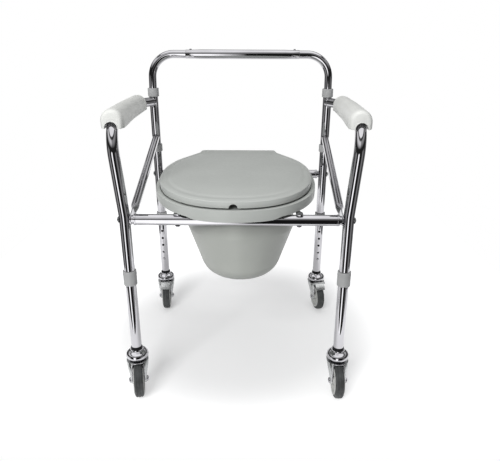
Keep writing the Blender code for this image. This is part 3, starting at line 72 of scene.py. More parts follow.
# Frame tubes; a length that ends in S runs up a leg's own axis
TUBE_R, BORE_R, SLIP_R = 0.0127, 0.0114, 0.0111
FRONT_HALF, REAR_HALF = 0.2505, 0.2516
FRAME_DEPTH = BAR.y - SHIFT.y
REAR_RAKE = math.radians(1.43)
LEG_END_S, SPLIT_S = 0.1286, 0.3160
HOLE_R, HOLE_S = 0.0036, [0.1745 + 0.0243 * step for step in range(5)]
SLEEVE = (0.5400, 0.6980)
ARM_Z, ARM_REAR_Y = 0.6745, 0.3580
ARM_FRONT_X, ARM_REAR_X = 0.2670, 0.2835
BACK_TOP_Z, BACK_BEND = 0.8035, 0.0620
BACK_MOUTHS = (-0.1550, 0.1670)
COLLAR_BORE, COLLAR_R = 0.0130, 0.0156
LOWER_COLLAR, UPPER_COLLAR, LEG_COLLAR = (0.5286, 0.5500), (0.6884, 0.7115), (0.2977, 0.3338)
STAY_R, LUG_HALF, LUG_THIN = 0.0103, 0.0124, 0.0014
# Rails, seat and lid
RAIL_TOP_Z = CROSSBAR_Z + TUBE_R + 0.0027
RAILS = (-0.1325, 0.1405)
SEAT_TILT, SEAT_X = math.radians(2.0), -0.0060
SEAT_LENGTH, SEAT_MIDDLE = 0.2400, 0.2000
RING_HEIGHT = 0.0225
LID_BASE = RING_HEIGHT + 0.0020
HINGE_X, HINGE_Y, HINGE_Z, HINGE_R = 0.085, 0.4165, 0.0300, 0.0058
KNUCKLE = 0.0157
# Powers of the seat's oval: 2 is an ellipse, and more is squarer
OVAL, OVAL_REAR = 2.3, 2.05
# Casters
WHEEL_R, TRAIL = 0.0438, 0.0224
CROWN_Z, HOUSING_Z, PLUG_Z = 0.0896, 0.0958, 0.1208
RACE_Z = CROWN_Z + 0.0022
PEDAL_Y, PEDAL_Z, PEDAL_HALF = -0.0340, 0.0962, 0.01505


# Finishes

def plastic(rough, grain, spread=0.06):
    """Moulded plastic: slight flow variation and a fine spark texture."""
    return (0.0, (11.0, 5.0, 1 - spread, 1 + spread, 0.30, 0.70), (150.0, 4.0, rough - 0.05, rough + 0.07),
            ((900.0, 3.0, grain), (26.0, 2.0, grain * 2)))


# For each colour: its material, the record's slot, how metallic it is, the noise in its colour and in its
# roughness (scale, detail, low, high, ramp's ends), and its layers of relief (scale, detail, distance)
FINISHES = {
    "chrome": ("bright_chrome", "chrome", 1.0, (14.0, 4.0, 0.94, 1.06), (60.0, 6.0, 0.025, 0.080, 0.40, 0.75),
               ((9.0, 2.0, 0.00030), (420.0, 3.0, 0.000005))),
    "steel": ("plated_steel", "chrome", 1.0, (45.0, 5.0, 0.84, 1.14), (90.0, 6.0, 0.20, 0.36),
              ((70.0, 4.0, 0.00012), (900.0, 3.0, 0.00001))),
    "seat": ("seat_plastic_finish", "seat_plastic", *plastic(0.34, 0.00002, 0.035)),
    "pail": ("pail_plastic_finish", "seat_plastic", *plastic(0.36, 0.00002, 0.035)),
    "pad": ("pad_plastic_finish", "pad_plastic", *plastic(0.42, 0.00003)),
    "collar": ("collar_plastic_finish", "grey_plastic", *plastic(0.42, 0.00002, 0.10)),
    "hub": ("hub_plastic_finish", "grey_plastic", *plastic(0.40, 0.00002)),
    # black: the stem sockets' own black plastic, and also painted shade on the steel race rings of the forks
    "black": ("black_plastic_finish", "black_plastic", *plastic(0.55, 0.00003, 0.35)),
    "tyre": ("tyre_rubber_finish", "tyre_rubber", 0.0, (60.0, 6.0, 0.70, 1.30), (200.0, 5.0, 0.48, 0.70),
             ((1200.0, 3.0, 0.00003), (120.0, 4.0, 0.00006))),
}


def feed(tree, socket, value):
    """Link an output to a socket, or set the socket's value."""
    if isinstance(value, bpy.types.NodeSocket):
        tree.links.new(value, socket)
    else:
        socket.default_value = value


def node_at(tree, kind, *fed, **values):
    """New node: plain arguments go to its inputs in order, named ones to an input or a setting."""
    node = tree.nodes.new(kind)
    for name, value in values.items():
        label = name.replace("_", " ")
        if label in node.inputs:
            feed(tree, node.inputs[label], value)
        else:
            setattr(node, name, value)
    for socket, value in zip(node.inputs, fed):
        feed(tree, socket, value)
    return node


def new_material(name):
    """Material with its tree, its shader and Object coordinates."""
    material = bpy.data.materials.new(name)
    material.use_nodes = True
    tree = material.node_tree
    return material, tree, tree.nodes["Principled BSDF"], tree.nodes.new("ShaderNodeTexCoord").outputs["Object"]


def blotches(tree, where, socket, colour, scale, detail, low, high, first=0.35, last=0.65):
    """Soft noise between a darker and a lighter colour, wired to a socket."""
    noise = node_at(tree, "ShaderNodeTexNoise", Vector=where, Scale=scale, Detail=detail, Roughness=0.55)
    ramp = node_at(tree, "ShaderNodeValToRGB", noise.outputs["Fac"])
    for element, place, share in zip(ramp.color_ramp.elements, (first, last), (low, high)):
        element.position = place
        element.color = (*(part * share for part in colour), 1)
    tree.links.new(ramp.outputs["Color"], socket)


def finish(kind):
    """Material of a finish, built at its first use."""
    name, _, metallic, tint, haze, relief = FINISHES[kind]
    if name in bpy.data.materials:
        return bpy.data.materials[name]
    material, tree, shader, where = new_material(name)
    shader.inputs["Metallic"].default_value = metallic
    if kind == "black":
        # Duller than other plastic
        shader.inputs["Specular IOR Level"].default_value = 0.2
    blotches(tree, where, shader.inputs["Base Color"], getattr(bpy.context.scene.commode_colours, kind), *tint)
    blotches(tree, where, shader.inputs["Roughness"], (1, 1, 1), *haze)
    below = {}
    for scale, detail, distance in relief:
        noise = node_at(tree, "ShaderNodeTexNoise", Vector=where, Scale=scale, Detail=detail, Roughness=0.6)
        bump = node_at(tree, "ShaderNodeBump", Strength=1.0, Distance=distance, Height=noise.outputs["Fac"],
                       **below)
        below = {"Normal": bump.outputs["Normal"]}
    tree.links.new(below["Normal"], shader.inputs["Normal"])
    return material


# Mesh tools

def eased(value):
    """0 to 1 with soft ends."""
    value = min(max(value, 0.0), 1.0)
    return value * value * (3 - 2 * value)


def signed_power(value, power):
    """Power that keeps the sign, for rounded squares and ovals."""
    return math.copysign(abs(value) ** power, value)


def turns(count, phase=0.5):
    """Angles evenly round a circle."""
    return [2 * math.pi * (step + phase) / count for step in range(count)]


def arc(centre, radius, first, last, steps):
    """(a, b) points along an arc, angles in degrees."""
    angles = [math.radians(first + (last - first) * step / steps) for step in range(steps + 1)]
    return [(centre[0] + radius * math.cos(turn), centre[1] + radius * math.sin(turn)) for turn in angles]


def outward(shape):
    """Faces point out of the solid."""
    bmesh.ops.recalc_face_normals(shape, faces=shape.faces)
    if shape.calc_volume(signed=True) < 0:
        bmesh.ops.reverse_faces(shape, faces=shape.faces)
    return shape


def skin(shape, pairs):
    """Faces between pairs of rows of points; a row of one point is a pole."""
    for low, high in pairs:
        count = max(len(low), len(high))
        for step in range(count):
            following = (step + 1) % count
            corners = [low[step % len(low)], low[following % len(low)],
                       high[following % len(high)], high[step % len(high)]]
            shape.faces.new(list(dict.fromkeys(corners)))
    return outward(shape)


def turned(profile, sides=64, phase=0.0):
    """Solid of revolution about Z through (radius, height) points; radius 0 is a pole."""
    shape = bmesh.new()
    rows = [[shape.verts.new((radius * math.cos(turn), radius * math.sin(turn), height))
             for turn in (turns(sides, phase) if radius else [0.0])] for radius, height in profile]
    pairs = [pair for pair in zip(rows, rows[1:]) if len(pair[0]) + len(pair[1]) > 2]
    return skin(shape, pairs + ([(rows[-1], rows[0])] if len(rows[0]) > 1 else []))


def loft(rings, closed=False):
    """Skin through rings of equal length, capped unless closed into a loop."""
    shape = bmesh.new()
    rows = [[shape.verts.new(point) for point in ring] for ring in rings]
    if not closed:
        shape.faces.new(list(reversed(rows[0])))
        shape.faces.new(rows[-1])
    return skin(shape, list(zip(rows, rows[1:])) + ([(rows[-1], rows[0])] if closed else []))


def rounded(points, radius, steps=5):
    """(a, b) profile whose corners are rounded; a corner may carry its own radius."""
    result = []
    for index, corner in enumerate(points):
        own = corner[2] if len(corner) > 2 else radius
        if index in (0, len(points) - 1) or own == 0:
            result.append(tuple(corner[:2]))
            continue
        here = Vector(corner[:2])
        before = Vector(points[index - 1][:2]) - here
        after = Vector(points[index + 1][:2]) - here
        cut_back = min(own, before.length * 0.48, after.length * 0.48)
        first = here + before.normalized() * cut_back
        last = here + after.normalized() * cut_back
        for step in range(steps + 1):
            share = step / steps
            result.append(tuple(first.lerp(here, share).lerp(here.lerp(last, share), share)))
    return result


def lathe(points, edge, steps, sides=48, phase=0.0):
    """Solid of revolution with rounded corners."""
    return turned(rounded(points, edge, steps), sides, phase)


def pipe(bore, outer, low, high, edge, steps, sides=48, phase=0.5):
    """Upright tube with rounded edges, or a stud where the bore is 0."""
    return lathe([(bore, low), (outer, low), (outer, high), (bore, high)], edge, steps, sides, phase)


def filleted(corners, radii, step_size=3.0):
    """Path whose inner corners are true arcs."""
    path = [corners[0]]
    for before, corner, after, radius in zip(corners, corners[1:], corners[2:], radii):
        into, out = (corner - before).normalized(), (after - corner).normalized()
        turn = into.angle(out)
        axis = into.cross(out).normalized()
        start = corner - into * radius * math.tan(turn / 2)
        centre = start + axis.cross(into) * radius
        steps = max(3, round(math.degrees(turn) / step_size))
        for step in range(steps + 1):
            path.append(centre + Matrix.Rotation(turn * step / steps, 3, axis) @ (start - centre))
    path.append(corners[-1])
    return path


def axes(first, second, third, place):
    """Matrix with the given axes and origin."""
    matrix = Matrix((first, second, third)).transposed().to_4x4()
    matrix.translation = place
    return matrix


def path_frames(path, hint):
    """Frames along a path, Z ahead, carried on without twist."""
    frames = []
    across = hint.normalized()
    for index, point in enumerate(path):
        ahead = path[min(index + 1, len(path) - 1)] - point
        behind = point - path[max(index - 1, 0)]
        along = (ahead.normalized() + behind.normalized()).normalized()
        across = (across - along * across.dot(along)).normalized()
        frames.append(axes(across, along.cross(across), along, point))
    return frames


def rod(path, radius, sides=40, hint=ACROSS):
    """Round bar along a path."""
    circle = [Vector((radius * math.cos(turn), radius * math.sin(turn), 0)) for turn in turns(sides)]
    return loft([[matrix @ point for point in circle] for matrix in path_frames(path, hint)])


def bar(start, end, radius, sides=32):
    """Straight round bar."""
    start, end = Vector(start), Vector(end)
    return rod([start, end], radius, sides, ACROSS if abs((end - start).normalized().z) > 0.9 else UP)


def plate(points, x, width):
    """Plate with a (y, z) outline, centred at x."""
    return loft([[Vector((x + half, y, z)) for y, z in points] for half in (-width / 2, width / 2)])


def moved(shape, matrix):
    shape.transform(matrix)
    return shape


def at(*place):
    return Matrix.Translation(place)


def linked(name, data):
    """New object in the scene."""
    item = bpy.data.objects.new(name, data)
    bpy.context.scene.collection.objects.link(item)
    return item


def plain_object(name, shapes):
    """Object from one or more shapes, each kept as its own shell."""
    mesh = bpy.data.meshes.new(name)
    whole = bmesh.new()
    for shape in shapes:
        shell = bpy.data.meshes.new("shell")
        shape.to_mesh(shell)
        shape.free()
        whole.from_mesh(shell)
        bpy.data.meshes.remove(shell)
    whole.to_mesh(mesh)
    whole.free()
    return linked(name, mesh)


def mesh_shape(item):
    """Take an object's mesh as a shape and remove the object."""
    shape = bmesh.new()
    shape.from_mesh(item.data)
    bpy.data.objects.remove(item, do_unlink=True)
    return shape


def result_mesh(item):
    """Plain mesh of what an object's modifiers make of it."""
    graph = bpy.context.evaluated_depsgraph_get()
    return bpy.data.meshes.new_from_object(item.evaluated_get(graph))


def apply_modifier(item, kind, **settings):
    """Run one modifier on an object and keep its result."""
    modifier = item.modifiers.new("shape", kind)
    for name, value in settings.items():
        setattr(modifier, name, value)
    mesh = result_mesh(item)
    item.modifiers.clear()
    item.data = mesh
    return item


def cut(item, shape):
    """Exact cut with another shape."""
    tool = plain_object("tool", [shape])
    apply_modifier(item, "BOOLEAN", operation="DIFFERENCE", solver="EXACT", object=tool)
    bpy.data.objects.remove(tool, do_unlink=True)


def soften(item, width, segments, angle):
    """Small rounded edges."""
    apply_modifier(item, "BEVEL", width=width, segments=segments, limit_method="ANGLE",
                   angle_limit=math.radians(angle))


def add_piece(name, shapes, body, node, kind="chrome", sharp=38.0, place=None):
    """Shade a piece, move it into the frame, and hang it on its body in place of its CAD node."""
    item = plain_object(name, shapes)
    if place:
        item.data.transform(place)
    item.data.transform(Matrix.Translation(SHIFT))
    item.data.materials.clear()
    item.data.materials.append(finish(kind))
    item.data.shade_smooth()
    item.data.set_sharp_from_angle(angle=math.radians(sharp))
    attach(item, body)
    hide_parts(node)
    return item


def paint_where(item, kind, chosen):
    """Second finish on the chosen faces."""
    item.data.materials.append(finish(kind))
    for face in item.data.polygons:
        if chosen(face):
            face.material_index = len(item.data.materials) - 1


# Geometry Nodes trees

def new_tree(name, inputs):
    """Geometry tree with the named inputs, a material and a geometry output."""
    tree = bpy.data.node_groups.new(name, "GeometryNodeTree")
    for label, kind, value in [("Geometry", "Geometry", None), *inputs, ("Material", "Material", None)]:
        socket = tree.interface.new_socket(label, in_out="INPUT", socket_type="NodeSocket" + kind)
        if value is not None:
            socket.default_value = value
    tree.interface.new_socket("Geometry", in_out="OUTPUT", socket_type="NodeSocketGeometry")
    return tree, tree.nodes.new("NodeGroupInput").outputs


def close_tree(tree, source, given):
    """Realize, paint and send out the geometry."""
    real = node_at(tree, "GeometryNodeRealizeInstances", source)
    paint = node_at(tree, "GeometryNodeSetMaterial", Geometry=real.outputs[0], Material=given["Material"])
    node_at(tree, "NodeGroupOutput", paint.outputs[0])
    return tree


def tube_tree():
    """Tube swept along a path: radius and sides are inputs."""
    if "swept_tube" in bpy.data.node_groups:
        return bpy.data.node_groups["swept_tube"]
    tree, given = new_tree("swept_tube", [("Radius", "Float", TUBE_R), ("Sides", "Int", 40)])
    ring = node_at(tree, "GeometryNodeCurvePrimitiveCircle", Radius=given["Radius"], Resolution=given["Sides"])
    sweep = node_at(tree, "GeometryNodeCurveToMesh", Curve=given["Geometry"],
                    Profile_Curve=ring.outputs["Curve"], Fill_Caps=True)
    return close_tree(tree, sweep.outputs["Mesh"], given)


def rib_tree():
    """Copies of one small piece on every point of a circle, each turned with it."""
    tree, given = new_tree("ring_of_copies", [("Piece", "Object", None), ("Count", "Int", 8),
                                              ("Radius", "Float", 0.02)])
    ring = node_at(tree, "GeometryNodeCurvePrimitiveCircle", Resolution=given["Count"], Radius=given["Radius"])
    points = node_at(tree, "GeometryNodeCurveToPoints", mode="EVALUATED", Curve=ring.outputs["Curve"]).outputs
    piece = node_at(tree, "GeometryNodeObjectInfo", Object=given["Piece"])
    copies = node_at(tree, "GeometryNodeInstanceOnPoints", Points=points["Points"],
                     Instance=piece.outputs["Geometry"], Rotation=points["Rotation"])
    return close_tree(tree, copies.outputs["Instances"], given)


def run_tree(item, tree, values):
    """Put a tree on an object, fill its inputs by identifier, and take the plain mesh."""
    modifier = item.modifiers.new("nodes", "NODES")
    modifier.node_group = tree
    for socket in tree.interface.items_tree:
        if socket.item_type == "SOCKET" and socket.in_out == "INPUT" and socket.name in values:
            modifier[socket.identifier] = values[socket.name]
    bpy.context.view_layer.update()
    mesh = result_mesh(item)
    bpy.data.objects.remove(item, do_unlink=True)
    return mesh


def swept(path, radius, sides):
    """Shape of a tube, made by the tube tree."""
    curve = bpy.data.curves.new("tube_line", "CURVE")
    curve.dimensions = "3D"
    spline = curve.splines.new("POLY")
    spline.points.add(len(path) - 1)
    for point, place in zip(spline.points, path):
        point.co = (*place, 1)
    values = {"Radius": radius, "Sides": sides, "Material": finish("chrome")}
    shape = bmesh.new()
    shape.from_mesh(run_tree(linked("tube_line", curve), tube_tree(), values))
    bmesh.ops.remove_doubles(shape, verts=shape.verts, dist=0.000001)
    return outward(shape)


# Places on the frame

def leg_frame(corner):
    """Z up along a leg, origin at the foot of its axis."""
    end, side = corner.split("_")
    if end == "front":
        return at(SIDES[side] * FRONT_HALF, 0, 0)
    foot = Vector(JOINTS[corner + "_caster_swivel"]["pos_m"]) - SHIFT
    return Matrix.Translation(foot) @ Matrix.Rotation(REAR_RAKE, 4, "X")


def at_height(corner, z):
    """Point on a leg's axis at a true height."""
    matrix = leg_frame(corner)
    foot = matrix.translation
    up = matrix.to_3x3() @ UP
    return foot + up * ((z - foot.z) / up.z)


def swivel_frame(corner):
    """Frame of a caster fork, its wheel towards -Y."""
    axle = Vector(JOINTS[corner + "_wheel_spin"]["axis"]).normalized()
    leg = leg_frame(corner)
    up = leg.to_3x3() @ UP
    return axes(axle, up.cross(axle).normalized(), up, leg.translation)


def wheel_frame(corner):
    """Wheel's own frame: Z along the axle, X as upright as it can be."""
    spin = JOINTS[corner + "_wheel_spin"]
    axle = Vector(spin["axis"]).normalized()
    up = (UP - axle * axle.z).normalized()
    return axes(axle, up.cross(axle), up, Vector(spin["pos_m"]) - SHIFT) @ SIDEWAYS


def mirrored(points, sign):
    return [Vector((sign * point.x, point.y, point.z)) for point in points]


def arm_path():
    """Centre line of the right side tube."""
    rear = at_height("rear_right", ARM_Z)
    lean_z, bends = 0.4670, [0.1200, 0.0780, 0.1300]
    corners = [Vector((FRONT_HALF, 0, SPLIT_S)), Vector((FRONT_HALF, 0, lean_z)),
               Vector((ARM_FRONT_X, 0, ARM_Z)), Vector((ARM_REAR_X, ARM_REAR_Y, ARM_Z)),
               Vector((rear.x, rear.y, ARM_Z))]
    return filleted(corners, bends)


def facing(corner):
    """Side of a leg, along its own Y, that carries the height holes."""
    return 1 if corner.startswith("front") else -1


def drilled(item, corner):
    """Height holes into one wall of a leg tube."""
    side = facing(corner)
    for height in HOLE_S:
        cut(item, moved(bar((0, side * 0.006, height), (0, side * 0.02, height), HOLE_R, 20), leg_frame(corner)))
    return item


def spigot(corner):
    """Drilled inner tube below a frame tube, open at its end."""
    shape = pipe(SLIP_R - 0.0013, SLIP_R, 0.1545, SPLIT_S + 0.002, 0, 1, 40)
    return mesh_shape(drilled(plain_object("spigot", [moved(shape, leg_frame(corner))]), corner))


# Pieces of the frame

def make_side_tubes():
    """Bent side tubes, each with the sleeve for its upright, a weld bead and an inner tube."""
    low, high = SLEEVE
    bead = [(TUBE_R - 0.003, -0.004), (TUBE_R + 0.0012, -0.0012), (TUBE_R + 0.0010, 0.0014),
            (TUBE_R - 0.0002, 0.0030), (TUBE_R - 0.003, 0.0030)]
    for side, sign in SIDES.items():
        path = mirrored(arm_path(), sign)
        tube = plain_object("bent_tube", [swept(path, TUBE_R, 48)])
        rear = leg_frame("rear_" + side)
        # The arm's end stops on the sleeve
        cut(tube, moved(bar((0, 0, low - 0.02), (0, 0, high + 0.02), TUBE_R - 0.0004, 40), rear))
        meet = at_height("rear_" + side, ARM_Z)
        toward = (path[-2] - meet).normalized()
        weld = Matrix.Translation(meet + toward * (TUBE_R + 0.0006)) @ \
            UP.rotation_difference(toward).to_matrix().to_4x4()
        parts = [moved(pipe(BORE_R, TUBE_R, low, high, 0.0004, 2), rear), moved(turned(bead, 40), weld),
                 spigot("front_" + side), mesh_shape(tube)]
        add_piece(side + "_side_frame_tube", parts, "frame", side + "_side_frame")


def make_uprights():
    """Rear upright tubes with their inner tubes."""
    for side in SIDES:
        corner = "rear_" + side
        tube = pipe(BORE_R, TUBE_R, SPLIT_S, SLEEVE[0] - 0.0003, 0.0003, 2)
        add_piece(side + "_rear_upright_tube", [moved(tube, leg_frame(corner)), spigot(corner)],
                  "frame", side + "_rear_upright")


def make_back_bar():
    """Two bent ends with a button each, and the middle tube over them, necked at its mouths."""
    kink = at_height("rear_right", UPPER_COLLAR[1])
    low = leg_frame("rear_right") @ Vector((0, 0, SLEEVE[0] - 0.0547))
    top_y = kink.y + 0.0110
    overlap, button_in = 0.0400, 0.0140
    button = [(0, 0.0050), (0.0031, 0.0050), (0.0031, TUBE_R + 0.0020), (0, TUBE_R + 0.0022)]
    for (side, sign), mouth in zip(SIDES.items(), BACK_MOUTHS):
        end_x = abs(mouth - sign * overlap)
        corners = [low, kink, Vector((kink.x, top_y, BACK_TOP_Z)), Vector((end_x, top_y, BACK_TOP_Z))]
        path = mirrored(filleted(corners, [BACK_BEND, BACK_BEND], 2.5), sign)
        stud = moved(lathe(button, 0.0016, 4, 24), at(mouth - sign * button_in, top_y, BACK_TOP_Z))
        add_piece("back_%s_bent_tube" % side, [swept(path, SLIP_R, 44), stud], "frame", "back_%s_bend" % side)
    left, right = BACK_MOUTHS
    neck = TUBE_R - 0.0006
    end = [(neck - 0.0004, 0), (neck, 0.0006), (neck, 0.026), (TUBE_R, 0.040)]
    outer = [(radius, left + run) for radius, run in end]
    outer += [(radius, right - run) for radius, run in reversed(end)]
    tube = turned(outer + [(0.0113, right), (0.0113, left)], 56, 0.5)
    middle = plain_object("middle_tube", [moved(tube, at(0, top_y, BACK_TOP_Z) @ SIDEWAYS)])
    for x in (left + button_in, right - button_in):
        cut(middle, bar((x, top_y, BACK_TOP_Z + 0.004), (x, top_y, BACK_TOP_Z + 0.03), HOLE_R, 24))
    add_piece("back_middle_tube", [mesh_shape(middle)], "frame", "back_cross_tube")


def raised_line(low, high, proud):
    """Thin raised ring round a collar."""
    inside, outside = COLLAR_R - 0.0010, COLLAR_R + proud
    return turned([(inside, low), (outside, low + 0.0004), (outside, high - 0.0004), (inside, high)], 56, 0.5)


def make_collars():
    """Plastic collars on the uprights and on the sliding legs."""
    stop = SLEEVE[1] + 0.0003
    for side in SIDES:
        matrix = leg_frame("rear_" + side)
        for level, (low, high), mouth, inner in (
                ("lower", LOWER_COLLAR, COLLAR_BORE, []),
                ("upper", UPPER_COLLAR, BORE_R, [(BORE_R, stop), (COLLAR_BORE, stop)])):
            profile = [(COLLAR_BORE, low), (COLLAR_R, low), (COLLAR_R, high), (mouth, high)] + inner
            ring = lathe(profile, 0.0016, 4, 56, 0.5)
            line = raised_line(low + 0.0050, low + 0.0072, 0.0003)
            add_piece("%s_%s_sleeve_collar" % (side, level), [moved(ring, matrix), moved(line, matrix)],
                      "frame", "%s_%s_collar" % (side, level), "collar")
    low, high = LEG_COLLAR
    for corner in CORNERS:
        matrix = leg_frame(corner)
        ring = plain_object("ring", [moved(pipe(COLLAR_BORE, COLLAR_R, low, high, 0.0016, 4, 56), matrix)])
        away = -facing(corner)
        cut(ring, moved(bar((0, away * 0.010, low), (0, away * 0.02, low), 0.0022, 16), matrix))
        line = raised_line(high - 0.0098, high - 0.0072, 0.0004)
        add_piece(corner + "_leg_joint_collar", [mesh_shape(ring), moved(line, matrix)],
                  corner + "_leg", corner + "_leg_collar", "collar")


def make_crossbars():
    """Crossbars with a ferrule and a closed cap at each end."""
    ferrule = TUBE_R + 0.0007
    for end, y, reach in (("front", 0.0, 0.2344), ("rear", FRAME_DEPTH, 0.2386)):
        tube = reach - 0.0048
        half = rounded([(0.0104, tube), (ferrule, tube, 0.0005), (ferrule, tube - 0.0046, 0.0005),
                        (TUBE_R, tube - 0.0050, 0), (TUBE_R, 0)], 0.0008, 3)[:-1]
        profile = [(0, reach), (0.0100, reach), (0.0104, reach - 0.0004)] + half
        profile += [(radius, -height) for radius, height in reversed(profile)]
        add_piece(end + "_cross_tube", [moved(turned(profile, 56, 0.5), at(0, y, CROSSBAR_Z) @ SIDEWAYS)],
                  "frame", end + "_crossbar")


def bolt_head(radius, height):
    """Domed head with a washer face, standing on z = 0."""
    return lathe([(0, -0.002), (radius * 0.5, -0.002, 0), (radius * 0.5, 0, 0), (radius * 1.1, 0),
                  (radius * 1.1, height * 0.18), (radius * 0.98, height * 0.22, 0.0002),
                  (radius * 0.92, height * 0.62, 0.0012), (radius * 0.5, height * 0.96, 0.002),
                  (0, height)], 0.0003, 4, 36)


def make_bolts():
    """Domed bolts at the ends of the crossbars."""
    for end, y, spread in (("front", 0.0, FRONT_HALF), ("rear", FRAME_DEPTH, REAR_HALF)):
        for side, sign in SIDES.items():
            place = Vector((sign * (spread + TUBE_R), y, CROSSBAR_Z))
            turn = Matrix.Rotation(sign * math.pi / 2, 4, "Y")
            add_piece("%s_%s_bar_bolt" % (end, side),
                      [moved(bolt_head(0.0072, 0.0042), Matrix.Translation(place) @ turn),
                       bar((sign * 0.223, y, CROSSBAR_Z), place, 0.0040, 24)],
                      "frame", "%s_%s_crossbar_bolt" % (end, side), "steel")


def make_side_stays():
    """Side stays: round tube, creased along its lower half and pressed to a lug at the crossbar."""
    crease = bpy.context.scene.commode_sizes.brace_crease
    flat_from, flat_run = 0.058, 0.036
    for side, sign in SIDES.items():
        start = at_height("rear_" + side, 0.5730)
        end = Vector((sign * 0.2364, 0, CROSSBAR_Z))
        ahead, length = (end - start).normalized(), (end - start).length
        across = (ACROSS - ahead * ahead.x).normalized()
        over = ahead.cross(across)
        stations = [(length * step / 20, STAY_R, STAY_R) for step in range(17)]
        stations = [station for station in stations if station[0] < length - flat_from - 0.004]
        for step in range(17):
            flat = eased(step / 16)
            stations.append((length - flat_from + flat_run * step / 16, STAY_R + (LUG_THIN - STAY_R) * flat,
                             STAY_R + (LUG_HALF - STAY_R) * flat))
        stations += [(length - 0.006, LUG_THIN, LUG_HALF), (length, LUG_THIN, LUG_HALF),
                     (length + 0.0062, LUG_THIN, 0.0107), (length + 0.0100, LUG_THIN, 0.0073),
                     (length + 0.0122, 0.0013, 0.0024)]
        rings = []
        for distance, half_x, half_z in stations:
            flat = 1 - max(0.0, (half_x - LUG_THIN) / (STAY_R - LUG_THIN))
            deep = crease * eased((distance / length - 0.30) / 0.25) * (1 - flat)
            ring = []
            for step in range(90):
                angle = 360 * (step + 0.5) / 90
                turn = math.radians(angle)
                dent = deep * math.exp(-((angle - 90 + sign * 24) / 7.0) ** 2)
                a = signed_power(math.cos(turn), 1 - 0.72 * flat) * (half_x - dent)
                b = signed_power(math.sin(turn), 1 - 0.3 * flat) * (half_z - dent)
                ring.append(start + ahead * distance + across * a + over * b)
            rings.append(ring)
        stay = plain_object("stay", [loft(rings)])
        cut(stay, moved(bar((0, 0, 0.50), (0, 0, 0.62), TUBE_R + 0.0001, 48), leg_frame("rear_" + side)))
        add_piece(side + "_side_stay", [mesh_shape(stay)], "frame", side + "_brace", sharp=30.0)


def make_pail_rails():
    """Rails with flattened, bolted ends: stations have y, half height, half width and flatness."""
    front = [(-0.0100, 0.0012, 0.0050, 1), (-0.0088, 0.0012, 0.0068, 1), (-0.0060, 0.0012, 0.0080, 1),
             (0.0110, 0.0012, 0.0080, 1), (0.0140, 0.0020, 0.0074, 0.8), (0.0180, 0.0036, 0.0062, 0.4),
             (0.0230, 0.0050, 0.0050, 0)]
    rear = [(FRAME_DEPTH - y, *rest) for y, *rest in reversed(front)]
    low = CROSSBAR_Z - TUBE_R - 0.0003
    for side, x in zip(SIDES, RAILS):
        rings = []
        for y, half_z, half_x, flat in front + rear:
            power = 1 - 0.7 * flat
            rings.append([Vector((x + signed_power(math.cos(turn), power) * half_x, y,
                                  RAIL_TOP_Z - half_z + signed_power(math.sin(turn), power) * half_z))
                          for turn in turns(28)])
        shapes = [loft(rings)]
        for y in (0, FRAME_DEPTH):
            shapes.append(moved(bolt_head(0.0056, 0.0040), at(x, y, low) @ Matrix.Rotation(math.pi, 4, "X")))
            shapes.append(bar((x, y, low), (x, y, RAIL_TOP_Z - 0.001), 0.0030, 20))
        add_piece(side + "_pail_rail", shapes, "frame", side + "_seat_rail")


# Arm pads

def pad_line(sign):
    """Centre line of a pad between its two ends."""
    first, last, ahead = 0.0140, 0.3560, 0.008
    line = [Vector((ARM_FRONT_X - (ARM_REAR_X - ARM_FRONT_X) / ARM_REAR_Y * ahead, -ahead, ARM_Z))]
    line += [point for point in arm_path() if point.z > ARM_Z - 0.0001]
    kept = []
    for start, end in zip(line, line[1:]):
        for plane in (first, last):
            if start.y < plane <= end.y:
                kept.append(start.lerp(end, (plane - start.y) / (end.y - start.y)))
        if first < end.y < last:
            kept.append(end)
    return mirrored(sorted(kept, key=lambda point: point.y), sign)


def even(line, spacing):
    """Same line with points at an even spacing."""
    result = [line[0]]
    rest = spacing
    for start, end in zip(line, line[1:]):
        length = (end - start).length
        while rest < length:
            result.append(start.lerp(end, rest / length))
            rest += spacing
        rest -= length
    if (result[-1] - line[-1]).length < spacing * 0.3:
        result.pop()
    return result + [line[-1]]


def pad_section(radius, skirt):
    """Half-round outline with softly rounded lower corners, as (across, up)."""
    foot = [(radius - 0.0030, -skirt), (radius - 0.0010, -skirt + 0.0006), (radius, -skirt + 0.0030)]
    return foot + arc((0, 0), radius, 0, 180, 24) + [(-a, b) for a, b in reversed(foot)]


def cross_sections(stations, inward):
    """Upright sections along a pad; a station has its place, its outline, and its shift in and down."""
    rings = []
    frames = path_frames([station[0] for station in stations], ACROSS)
    for matrix, (place, points, shift, drop) in zip(frames, stations):
        across = (matrix.to_3x3() @ UP).cross(UP).normalized()
        rings.append([place + across * a + Vector((inward * shift, 0, b - drop)) for a, b in points])
    return rings


